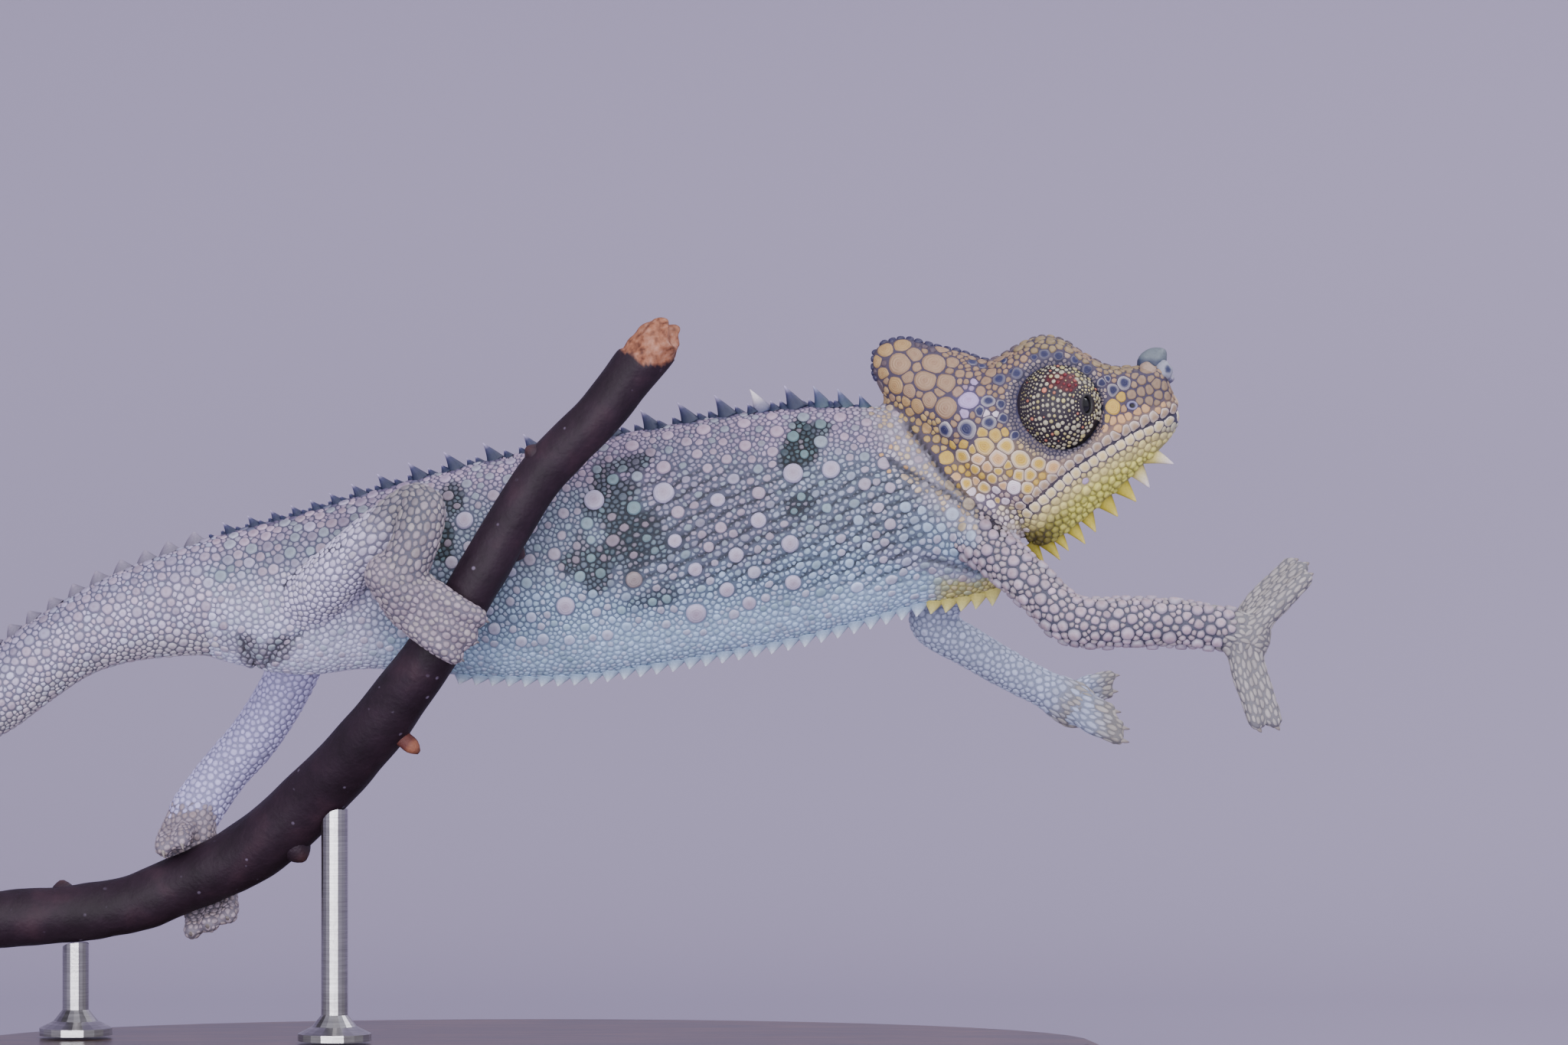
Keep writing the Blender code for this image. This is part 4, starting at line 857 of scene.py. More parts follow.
def scaleSizes(ids, p, place, turn):  # radius of the big, middle and small scales at each place
    x, z, high = p[:, 0], p[:, 2], trunkPlace(p)
    trunk, head, tail = (isLabel(ids, name) for name in ("trunk", "head", "tail"))
    rear, _ = lineDistance(p, headRear)
    under = 0.5 - 0.5 * np.cos(2 * pi * turn)
    taper = np.interp(place, (0, 0.3, 0.7, 1), (1, 0.92, 0.62, 0.34))
    mouthGap, above = mouthDistance(p)
    depth = np.clip(mouthGap - 1.0, 0, 5)
    lid = head & (turretDistance(p) < 5.6) & (z < 74.4)
    sizes = [np.full(len(p), value) for value in (0.5, 0.42, 0.3)]
    for area, *values in (  # later rules win
        (trunk & (high > 0.13), 0.56, 0.39, 0.235),
        (trunk & (high <= 0.16), 0, 0, 0.29),
        (trunk & (x > 30) & (rear < 4.0), 0, 0.34, 0.25),
        (trunk & (x < -13) & (high < 0.66), 0, 0.33, 0.26),
        (trunk & (x < -11) & (high >= 0.66), 0.54, 0.38, 0.27),
        (trunk & (x > 37.5) & (high < 0.5), 0, 0.42, 0.3),
        (tail, np.where(under < 0.5, 0.52, 0.38) * taper, 0.37 * taper, 0.25 * taper),
        (isLabel(ids, "armRight"), 0.56, 0.4, 0.3),
        (isLabel(ids, "legRight"), 0, 0.38, 0.28),
        (isLabel(ids, "armLeft", "legLeft"), 0, 0.35, 0.27),
        (isLabel(ids, "legRight") & (place < 0.45), 0, 0.32, 0.25),
        (isLabel(ids, "footRight", "footLeft"), 0, 0.34, 0.26),
        (isLabel(ids, "handRight", "handLeft"), 0, 0.27, 0.2),
        (head, 0.6, 0.42, 0.28),
        (head & (above < 0) & (x > 44), 0, 0.46 - 0.03 * depth, 0.32 - 0.015 * depth),
        (head & (x > 43.4) & (x < 48.6) & (z < 60.4), 0, 0.31, 0.24),
        (lid, 0, 0, 0.24),
        (lid & (turretDistance(p) < 5.05), 0, 0, 0.16),
    ):
        sizes = [np.where(area, value, size) for value, size in zip(values, sizes)]
    return sizes


def lieOf(ids, p, n, ahead):  # the way the scales lie, and how much longer than wide they are
    way, stretch = ahead.copy(), np.ones(len(p))
    x, z = p[:, 0], p[:, 2]
    turn = radians(wrinklePlan["tilt"])
    flank = isLabel(ids, "trunk") & (x > 8) & (x < 39) & (z > 50) & (z < 64)
    way[flank] = (cos(turn), 0, sin(turn))
    stretch[isLabel(ids, "legRight") & (z > 52)] = 1.35
    stretch[flank] = 1.18
    stretch[isLabel(ids, "handRight", "handLeft")] = 2.3
    stretch[isLabel(ids, "footRight", "footLeft")] = 1.1
    return unit(way - n * (way * n).sum(1, keepdims=True)), stretch


def pickOnSkin(count):
    a, b, c, d = (skinPoints[skinQuads[:, k]] for k in range(4))
    area = np.linalg.norm(np.cross(c - a, d - b), axis=1)
    pick = np.searchsorted(np.cumsum(area) / area.sum(), dice.random(count))
    pick = np.minimum(pick, len(skinQuads) - 1)
    u, v = dice.random((2, count, 1))
    weights = ((1 - u) * (1 - v), u * (1 - v), u * v, (1 - u) * v)
    p = sum(w * corner[pick] for w, corner in zip(weights, (a, b, c, d)))
    n = unit(sum(w * skinNormals[skinQuads[pick, k]] for k, w in enumerate(weights)))
    return p, n, skinQuads[pick, 0]


def insideTurret(p, margin=0.15):
    gaps = [np.linalg.norm(p - mirrored(eyePlan["centre"], s), axis=1) for s in (1, -1)]
    return np.minimum(*gaps) < eyePlan["radius"] + margin


def throwScales(found, batch, radii, spacing, cell):
    grid = {}
    largest = radii.max()

    def register(x, y, z, r, e):
        reach = (r + largest) * spacing * e
        spans = [range(floor((v - reach) / cell), floor((v + reach) / cell) + 1) for v in (x, y, z)]
        for key in product(*spans):
            grid.setdefault(key, []).append((x, y, z, r))

    for p, r in zip(found["p"].tolist(), found["hold"].tolist()):
        register(*p, r, 1.0)
    keys = np.floor(batch["p"] / cell).astype(int).tolist()
    kept = []
    rows = zip(batch["p"].tolist(), radii.tolist(), keys, batch["way"].tolist(), batch["stretch"].tolist())
    for index, ((x, y, z), r, key, way, e) in enumerate(rows):
        squeeze = 1 - 1 / (e * e)
        free = True
        for qx, qy, qz, qr in grid.get(tuple(key), ()):
            dx, dy, dz = x - qx, y - qy, z - qz
            size = dx * dx + dy * dy + dz * dz
            if squeeze > 0:
                size -= (dx * way[0] + dy * way[1] + dz * way[2]) ** 2 * squeeze
            if size < ((r + qr) * spacing) ** 2:
                free = False
                break
        if free:
            kept.append(index)
            register(x, y, z, r, e)
    return np.array(kept, int)


def gather(p, n, ids, source, radius, kind):
    way, stretch = lieOf(ids, p, n, formAhead[nearest[source]])
    hold = radius * np.where(isLabel(ids, "head") & (kind > 4), 1.3, 1.0)
    return {"p": p, "n": n, "id": ids, "r": radius, "kind": kind, "way": way, "stretch": stretch,
            "source": source, "hold": hold}


def joinSets(one, two):
    return {k: np.concatenate([one[k], two[k]]) for k in one}


handP, handN, handR, handKind = (np.array(column) for column in zip(*placed))
skinCells = makeTree(skinPoints)
handSource = nearestIn(skinCells, handP)
scales = gather(handP, handN, skinLabel[handSource], handSource, handR, handKind)
scales["stretch"][:] = 1.0

throwPlan = (  # throws, spread of the radius, spacing, looser spacing on the flank, cell of the search
    (30000, 0.12, 1, 1.62, 1.2), (70000, 0.1, 0.96, 1.26, 0.9), (480000, 0.12, 0.88, 0.87, 0.6),
)
for size, (throws, spread, close, wide, cell) in enumerate(throwPlan):
    p, n, source = pickOnSkin(throws)
    ids = skinLabel[source]
    sizes = scaleSizes(ids, p, formPlace[nearest[source]], formTurn[nearest[source]])[size]
    mouthGap, _ = mouthDistance(p)
    onLips = isLabel(ids, "head") & (p[:, 0] > lipPlan["start"]) & (mouthGap < lipPlan["reach"])
    good = (sizes > 0) & ~insideTurret(p) & ~onLips
    loose = isLabel(ids, "trunk") & (p[:, 0] > -11)
    for area, spacing in ((~loose, close), (loose, wide)):
        chosen = good & area
        radius = sizes[chosen] * np.exp(dice.normal(0, spread, chosen.sum()))
        batch = gather(p[chosen], n[chosen], ids[chosen], source[chosen], radius, 0 * source[chosen])
        kept = throwScales(scales, batch, radius, spacing, cell)
        scales = joinSets(scales, {k: v[kept] for k, v in batch.items()})
    print("scales so far:", len(scales["r"]))


def neighboursOf(points, wanted, count):
    tree = makeTree(points)
    return np.array([[f[1] for f in tree.find_n(points[i], count + 1)][1:] for i in wanted])


spreadPlan = {"steps": 5, "near": 9, "reach": 1.02, "hold": 9.0, "share": 0.45, "furthest": 0.12}


def spreadOut():  # neighbours push each other apart until they lie evenly
    s = scales
    everyone = np.arange(len(s["r"]))
    fixed = s["kind"] > 0
    for _ in range(spreadPlan["steps"]):
        near = neighboursOf(s["p"], everyone, spreadPlan["near"])
        gap = s["p"][:, None] - s["p"][near]
        along = (gap * s["way"][:, None]).sum(-1, keepdims=True)
        gap -= s["way"][:, None] * along * (1 - 1 / s["stretch"][:, None, None])
        size = np.maximum(np.linalg.norm(gap, axis=2), 0.02)
        push = np.clip((s["r"][:, None] + s["r"][near]) * spreadPlan["reach"] - size, 0, None) / size
        bulk = s["r"] ** 3 + fixed * spreadPlan["hold"]
        weight = bulk[near] / (bulk[:, None] + bulk[near])
        move = (gap * (push * weight)[..., None]).sum(1) * spreadPlan["share"]
        length = np.linalg.norm(move, axis=1, keepdims=True)
        move *= np.minimum(1, spreadPlan["furthest"] / np.maximum(length, 1e-6))
        for i in everyone[~fixed]:
            s["p"][i] = skinTree.find_nearest(Vector(s["p"][i] + move[i]))[0]
    s["source"] = nearestIn(skinCells, s["p"])
    s["n"] = skinNormals[s["source"]]
    s["id"] = skinLabel[s["source"]]


spreadOut()
foldGap = np.where(isLabel(scales["id"], "trunk", "head"), foldDistance(scales["p"]), 9.0)
keep = ~insideTurret(scales["p"], 0.05) & ((foldGap > 0.04 + 0.36 * scales["r"]) | (scales["kind"] > 0))
scales = {k: v[keep] for k, v in scales.items()}
print("scales spread:", len(scales["r"]))


# colours by place: the same rules paint the skin and the scales

colours = {
    "mauve": (150, 133, 160), "flank": (134, 143, 163), "sea": (146, 167, 194), "belly": (166, 190, 220),
    "shade": (46, 62, 72), "plum": (118, 108, 130), "nape": (170, 163, 178), "gold": (186, 158, 100),
    "ochre": (168, 136, 92), "tan": (152, 124, 100), "lilac": (172, 152, 200), "navy": (38, 40, 80),
    "rim": (172, 168, 176), "yellow": (194, 160, 66), "peach": (206, 162, 114), "pale": (220, 206, 224),
    "brow": (142, 124, 92), "snout": (140, 118, 98), "upperLip": (174, 150, 126),
    "lowerLip": (208, 188, 138), "chin": (156, 158, 156), "jaw": (214, 200, 136), "throat": (204, 200, 100),
    "olive": (92, 80, 34), "chest": (180, 170, 96), "stud": (168, 157, 170), "pink": (170, 148, 164),
    "green": (116, 146, 150), "blue": (150, 172, 196), "brown": (128, 116, 118), "cloud": (170, 165, 192),
    "tailTop": (154, 146, 174), "tailSide": (180, 171, 197), "tailLow": (182, 175, 186),
    "thigh": (200, 193, 222), "knee": (122, 116, 122), "shank": (134, 124, 134), "farLeg": (178, 172, 216),
    "arm": (160, 148, 156), "farArm": (168, 176, 204), "hand": (152, 146, 148), "toe": (152, 146, 142),
    "foot": (147, 134, 146), "hip": (92, 79, 82), "groove": (40, 50, 72), "headGroove": (46, 44, 76),
    # line: the dark of the painted shade along the closed mouth and round the foot of each turret
    "orange": (206, 150, 84), "bone": (214, 208, 218), "line": (22, 22, 44),
}
colours = {name: paint(*colour) for name, colour in colours.items()}
waveWays = unit(dice.normal(size=(24, 3)))
wavePhase = dice.uniform(0, 6.3, 24)


def drift(p, size, first=0):  # a slow change over the body, from -1 to 1
    rows = slice(first, first + 6)
    return np.sin(p @ waveWays[rows].T * (6.3 / size) + wavePhase[rows]).sum(1) / 3.2


def spot(p, x, z, a, b, tilt=0.0, ragged=0.25):
    turn = radians(tilt)
    u, v = p[:, 0] - x, p[:, 2] - z
    along, across = u * cos(turn) + v * sin(turn), v * cos(turn) - u * sin(turn)
    size = np.hypot(along / a, across / b) + ragged * drift(p, 3.0, 6)
    return 1 - softStep(0.75, 1.25, size)


def mixIn(colour, share, name):
    share = np.asarray(share, float)[:, None]
    return colour * (1 - share) + colours[name] * share


trunkSpots = (  # x, z, half width, half height, tilt, colour, strength
    (18, 60.5, 6.5, 7.5, 10, "plum", 0.6), (26.4, 65, 1.6, 2.8, -15, "shade", 1),
    (27.6, 66.6, 1.6, 1, 0, "shade", 0.8), (26.6, 59.6, 1.9, 1, 20, "shade", 0.7),
    (8.6, 58.8, 2.6, 4.6, 25, "shade", 0.8), (10.4, 55.4, 4, 2.6, 15, "shade", 0.65),
    (6, 53.6, 2.4, 2.6, 30, "shade", 0.75), (12.4, 50.5, 3, 0.9, 15, "shade", 0.5),
    (9.6, 63.4, 2.6, 0.9, 15, "shade", 0.7), (-8.2, 55.8, 1.2, 2, 0, "shade", 0.95),
    (-7.6, 60, 1.3, 1.6, 0, "shade", 0.8), (29.5, 55.5, 3, 1.6, 20, "sea", 0.5),
    (-20, 56, 9, 3, 22, "plum", 0.6),
)
hipSpots = (
    (-27.2, 44.8, 1.2, 2, 0, "hip", 0.9), (-24.8, 45.2, 2.7, 1.2, 28, "hip", 0.9),
    (-28.8, 46.2, 1.8, 1, 10, "hip", 0.5), (-18.8, 55.2, 1.6, 0.6, 30, "hip", 0.8),
)
headSpots = (
    (36, 73.5, 2.6, 3, 60, "ochre", 0.6), (39.5, 72, 4, 3.2, 0, "tan", 0.85),
    (42.9, 69.6, 1.5, 1.5, 0, "lilac", 0.8), (49.5, 75.6, 4.4, 1.1, 0, "brow", 0.9),
    (57.5, 73.1, 2, 0.8, 0, "brow", 0.8), (60.4, 70.6, 2.4, 2, 0, "snout", 0.85),
    (45, 63.4, 4.6, 2.8, 20, "yellow", 0.9), (49.5, 61.8, 2.4, 2.4, 0, "yellow", 0.8),
    (46.2, 60.6, 2.2, 1.5, -40, "pale", 0.3), (56.6, 67.6, 2.2, 2, 30, "peach", 0.8),
    (38.5, 67, 1.4, 4.6, 48, "gold", 0.8), (53, 65.5, 1.5, 1, 20, "pale", 0.5),
)


limbColours = {  # label: colours near the body and at the end
    "armRight": ("arm", "arm"), "armLeft": ("farArm", "farArm"), "legRight": ("thigh", "shank"),
    "legLeft": ("farLeg", "farLeg"), "handRight": ("hand", "hand"), "handLeft": ("farArm", "toe"),
    "footRight": ("foot", "foot"), "footLeft": ("foot", "foot"),
}


def addSpots(colour, p, spots, most=1.0):
    for *where, name, strength in spots:
        colour = mixIn(colour, spot(p, *where) * strength * most, name)
    return colour


def paintBody(p, ids, place, turn):
    x, z, high = p[:, 0], p[:, 2], trunkPlace(p)
    level = high + 0.06 * drift(p, 9.0)
    rear, _ = lineDistance(p, headRear)
    plain = np.ones((len(p), 1))
    colour = plain * colours["flank"]
    for low, top, name in ((0.66, 0.92, "mauve"), (0.5, 0.24, "sea"), (0.26, 0.08, "belly")):
        colour = mixIn(colour, softStep(low, top, level), name)
    colour = addSpots(colour, p, trunkSpots)
    colour = mixIn(colour, (1 - softStep(1.5, 5.0, rear)) * (x > 28) * 0.8, "nape")
    chest = softStep(38.5, 41.0, x) * (1 - softStep(51.8, 53.0, z + 0.3 * drift(p, 2.0, 12)))
    colour = mixIn(colour, chest * 0.95, "chest")
    colour = mixIn(colour, spot(p, 38.0, 54.0, 6.0, 1.0, -14) * 0.6, "cloud")
    hipArea = (1 - softStep(-17, -11, x)) * (1 - softStep(0.45, 0.8, high))
    colour = mixIn(colour, hipArea * 0.75, "thigh")
    colour = addSpots(colour, p, hipSpots, 0.62)

    under = 0.5 - 0.5 * np.cos(2 * pi * turn)
    tail = mixIn(plain * colours["tailTop"], softStep(0.12, 0.42, under), "tailSide")
    tail = mixIn(tail, softStep(0.62, 0.92, under), "tailLow")
    colour = np.where(isLabel(ids, "tail")[:, None], tail, colour)

    head = addSpots(plain * colours["tan"], p, headSpots)
    mouthGap, above = mouthDistance(p)
    below = (above < 0) * softStep(44.0, 48.0, x)
    lip = (1 - softStep(1.0, 1.4, mouthGap)) * softStep(47.8, 50.0, x)
    turretGap = turretDistance(p)
    rearJaw = (z < 60.5) * (x < 50)
    for share, name in (
        (below, "jaw"), (below * softStep(1.5, 3.2, mouthGap), "throat"),
        ((1 - softStep(50.0, 53.5, x)) * softStep(1.8, 3.0, mouthGap) * below * 0.85, "olive"),
        ((1 - softStep(4.7, 5.6, turretGap)) * 0.5, "rim"),
        ((1 - softStep(4.45, 4.9, turretGap)) * 0.6, "navy"),
        (lip * (above > 0), "upperLip"), (lip * (above < 0), "lowerLip"),
        (below * softStep(60.5, 62.5, x) * (1 - softStep(66.0, 68.5, 134 - z)), "chin"),
        (spot(p, 47.2, 57.9, 2.2, 1.2, -35) * (above > 0) * 0.75, "jaw"),
        (spot(p, 48.4, 56.6, 2.0, 1.0, -20) * 0.5, "olive"),
        (rearJaw * (1 - softStep(0.9, 2.0, rear)) * 0.5, "pale"),
    ):
        head = mixIn(head, share, name)
    colour = np.where(isLabel(ids, "head")[:, None], head, colour)

    for label, (first, last) in limbColours.items():
        limb = mixIn(plain * colours[first], softStep(0.35, 0.75, place), last)
        if label == "legRight":
            limb = mixIn(limb, spot(p, -12.0, 60.0, 3.2, 3.0) * 0.8, "knee")
        colour = np.where(isLabel(ids, label)[:, None], limb, colour)
    return colour


grooveShare = {  # how much of the scales' colour the grooves keep
    "head": 0.1, "trunk": 0.24, "tail": 0.26, "armRight": 0.14, "armLeft": 0.5, "legRight": 0.3,
    "legLeft": 0.5, "handRight": 0.45, "handLeft": 0.5, "footRight": 0.4, "footLeft": 0.5,
}


def paintSkin():
    p, x, z, high = skinPoints, skinPoints[:, 0], skinPoints[:, 2], trunkPlace(skinPoints)
    body = paintBody(p, skinLabel, formPlace[nearest], formTurn[nearest])
    trunk, head = isLabel(skinLabel, "trunk"), isLabel(skinLabel, "head")
    mouthGap, above = mouthDistance(p)
    jaw = head & (above < 0) & (x > 45)
    beside = np.exp(-((mouthGap - 1.15) / 0.5) ** 2) * (x > 49)
    rear, _ = lineDistance(p, headRear)
    share = np.zeros(len(body))
    for label, value in grooveShare.items():
        share[isLabel(skinLabel, label)] = value
    for area, more in (
        (trunk, 0.5 * (1 - softStep(0.05, 0.3, high))),
        (trunk, 0.15 * ((1 - softStep(-17, -11, x)) * (1 - softStep(0.4, 0.75, high)))),
        (jaw, 0.5 * softStep(0.8, 1.8, mouthGap)),
        (head & ~jaw, 0.12 * spot(p, 46.5, 62.4, 5.0, 3.4, 15)),
        (head & ~jaw, 0.35 * beside),
        (trunk & (z > 56), 0.3 * (1 - softStep(1.5, 4.0, rear))),
    ):
        share = np.where(area, share + more, share)
    dark = np.where(head[:, None], colours["headGroove"], colours["groove"])
    colour = blend(dark, body, share[:, None])
    # painted shade: a dark line along the closed mouth, and a dark ring round the foot of the turret where it
    # meets the lid
    line = np.exp(-(mouthGap / 0.17) ** 2) * softStep(47.6, 48.4, x)
    line = head * np.maximum(line, 0.8 * np.exp(-((turretDistance(p) - 4.5) / 0.22) ** 2))
    colour = blend(colour, colours["line"], line[:, None])
    # painted shade in the creases: the skin darkens along every fold line and along the flank's wrinkles, and
    # it darkens inside the shade and hip spots as well
    creaseShadeAndPatches = trunk * wrinkle(p) * 0.9
    for line, *_ in foldPlan:
        gap, _ = lineDistance(p, line)
        creaseShadeAndPatches = np.maximum(creaseShadeAndPatches, np.exp(-(gap / 0.26) ** 2))
    for *where, name, strength in trunkSpots + hipSpots:
        if name in ("shade", "hip"):
            strength *= 0.66 if name == "hip" else 1
            creaseShadeAndPatches = np.maximum(creaseShadeAndPatches, trunk * spot(p, *where) * strength)
    return colour * (1 - 0.85 * creaseShadeAndPatches[:, None])


tilePlan = {  # kind: how much of its colour the middle takes, and how light its rim is
    "ochre": (0.9, 0.85), "tan": (0.9, 0.88), "lilac": (0.9, 0.95), "yellow": (0.85, 0.92),
    "peach": (0.8, 0.95), "pale": (0.85, 1), "brow": (0.8, 0.8), "snout": (0.8, 0.85),
    "upperLip": (0.75, 0.95), "lowerLip": (0.75, 0.95), "pink": (0.5, 1.08), "green": (0.5, 1.08),
    "blue": (0.5, 1.1), "brown": (0.9, 1.15),
}


def paintScales():  # a middle and a rim colour for each scale
    p, ids, r, kind = (scales[column] for column in ("p", "id", "r", "kind"))
    x, z, source = p[:, 0], p[:, 2], nearest[scales["source"]]
    middle = paintBody(p, ids, formPlace[source], formTurn[source])
    light = np.exp(dice.normal(0, 0.09, len(r)))
    pick = dice.random(len(r))
    trunk, head, tail = (isLabel(ids, name) for name in ("trunk", "head", "tail"))
    medium, thrown = r > 0.36, kind == 0
    side, offset = thrown & trunk, np.abs(p[:, 1])
    rear, _ = lineDistance(p, headRear)
    gap, _ = lineDistance(p, foldPlan[0][0])
    spotted = side & (gap < 1.3) & (x > 34)
    spineGap = np.linalg.norm(p[:, None] - np.array([q[0] for q in spines["back"]]), axis=2).min(1)
    onTop = head & thrown & (z > 71)
    casqueTop, browTop = onTop & (offset < 1.4) & (x < 47), onTop & (offset < 2.5) & (x >= 47)
    for share, name in (
        ((side & medium & (pick < 0.4)) * 0.45, "pink"), ((side & medium & (pick > 0.72)) * 0.4, "green"),
        ((side & ~medium & (pick < 0.22)) * 0.25, "green"), ((side & ~medium & (pick > 0.8)) * 0.25, "pink"),
        ((side & (r > 0.5) & (pick > 0.4) & (pick < 0.6)) * 0.5, "cloud"),
        ((head & thrown & (rear < 2.2) & (pick < 0.4) & (z < 64)) * 0.6, "pale"),
        ((tail & (pick < 0.3)) * 0.4, "pink"), ((tail & (pick > 0.8)) * 0.25, "sea"),
        ((tail & (r > 0.42)) * 0.3, "plum"), ((isLabel(ids, "armRight") & (pick < 0.5)) * 0.4, "pink"),
        ((isLabel(ids, "legRight", "footRight", "handRight") & (pick < 0.3)) * 0.35, "toe"),
        ((isLabel(ids, "footLeft") & (pick < 0.4)) * 0.2, "snout"),
        (spotted * 0.45, "bone"), (spotted * (pick < 0.3) * 0.6, "gold"),
        (spotted * (pick < 0.12) * (r < 0.36) * 0.6, "orange"),
        (side * (rear < 2.6) * (x > 33) * (pick > 0.6) * 0.6, "gold"),
        (side * (spineGap < 1.25) * (x < 30) * 0.7, "navy"),
        ((casqueTop * (pick < 0.7) + browTop * (pick < 0.35)) * 0.75, "navy"),
        ((kind == kinds.index("ridge")) * np.where(x < 45, 0.95, 0.7 * (pick < 0.6)), "navy"),
    ):
        middle = mixIn(middle, share, name)
    # painted shade: by default a scale's rim is its middle at 0.86, so each dome darkens towards its foot;
    # the rules below give studs, tiles, lips and navy scales rims of their own colour
    rim, inner = middle * 0.86, middle.copy()
    rim[medium & side] = (middle * 1.06 + 0.02)[medium & side]
    inner[medium & side] *= 0.9
    cheek = head * spot(p, 46.5, 62.6, 5.2, 3.8, 15)
    for name, (strength, edge) in tilePlan.items():
        mine = kind == kinds.index(name)
        inner = mixIn(inner, mine * strength, name)
        rim[mine] = inner[mine] * edge
        if name in ("yellow", "peach", "pale"):
            rim = mixIn(rim, mine * cheek * 0.6, "bone")
        if name.endswith("Lip"):
            rim = mixIn(rim, mine * 0.5, "bone")
    cloud = trunk & (kind == kinds.index("pale"))
    inner = mixIn(mixIn(inner, cloud * 0.85, "cloud"), cloud * 0.3, "pink")
    inner[cloud] *= 0.8
    rim[cloud] = colours["cloud"] * 0.98
    warty = isLabel(ids, "armRight") & medium
    inner = mixIn(inner, warty * 0.55, "pink")
    rim[warty] = middle[warty] * (0.84, 0.9, 1.0)
    navy = kind == kinds.index("navy")
    inner = mixIn(inner, navy, "navy")
    rim = mixIn(mixIn(rim, navy * 0.9, "rim"), navy * (z > 71) * (x < 55.5) * 0.6, "navy")
    light = np.where(thrown, light, light ** 0.5)[:, None]
    # painted shade: scales along the folds behind the head and at the shoulder, and small flank scales on the
    # wrinkles, are darkened; from here light holds this shade besides each scale's random tone
    near = np.exp(-(foldDistance(p) / 0.55) ** 2) * (trunk | head) * thrown
    near = np.maximum(near * 0.5, 0.45 * wrinkle(p) * side * (r < 0.33))
    light = light * (1 - near[:, None])
    return np.clip(inner * light, 0, 1), np.clip(rim * light, 0, 1)


# each scale is a low dome over its own cell of the skin

domePlans = (  # largest radius, points round it, neighbours looked at, sharpness, rings
    {"upTo": 0.36, "around": 8, "near": 12, "sharp": 8, "rings": ((1, None), (0.88, 0.55), (0.52, 0.92))},
    {"upTo": 0.52, "around": 11, "near": 16, "sharp": 9, "rings": ((1, None), (0.9, 0.5), (0.6, 0.88))},
    {"upTo": 9, "around": 18, "near": 30, "sharp": 11,
     "rings": ((1, None), (0.95, 0.5), (0.82, 0.86), (0.46, 0.98))},
)
domeRise = {
    "scale": 0.34, "stud": 0.32, "tile": 0.14, "sink": 0.12,
    "groove": 0.024, "tileGroove": 0.012, "wrinkleGroove": 0.12, "lipGroove": 0.03,
}


def islandOf():  # the place of every form on the map: x, y, width, height
    spots = [(0.0, 0.0, 0.5, 0.5), (0.5, 0.0, 0.25, 0.5), (0.75, 0.0, 0.25, 0.5)]
    spots += [(k * 0.25, 0.5, 0.25, 0.25) for k in range(4)]
    rest = len(forms) - len(spots)
    columns = ceil(rest / 2)
    spots += [((k % columns) / columns, 0.75 + k // columns * 0.125, 1 / columns, 0.125) for k in range(rest)]
    return np.array(spots)


islands = islandOf()
mapMargin, mapPatch = 0.004, 0.0015


def mapSpots(source):
    island = islands[formIndex[source]]
    place = np.column_stack([formTurn[source], formPlace[source]])
    return island[:, :2] + mapMargin + place * (island[:, 2:] - 2 * mapMargin)


def domeHeights():
    ids, r, kind, x = scales["id"], scales["r"], scales["kind"], scales["p"][:, 0]
    head = isLabel(ids, "head")
    tile = head & ((r > 0.5) | (kind > 0))
    mouthGap, above = mouthDistance(scales["p"])
    rise = np.where(r > 0.45, domeRise["stud"], domeRise["scale"])
    for area, value in (
        (tile, domeRise["tile"]), (isLabel(ids, "armRight"), 0.7),
        (isLabel(ids, "handRight", "handLeft"), 0.3),
        (head & (above < 0) & (x > 45) & (mouthGap > 2.2), 0.7),
        (kind == kinds.index("upperLip"), 0.15), (kind == kinds.index("lowerLip"), 0.15),
        (kind == kinds.index("navy"), 0.3), (kind == kinds.index("ridge"), 0.6),
        (kind == kinds.index("brow"), 0.42),
    ):
        rise = np.where(area, value, rise)
    return r * rise, tile


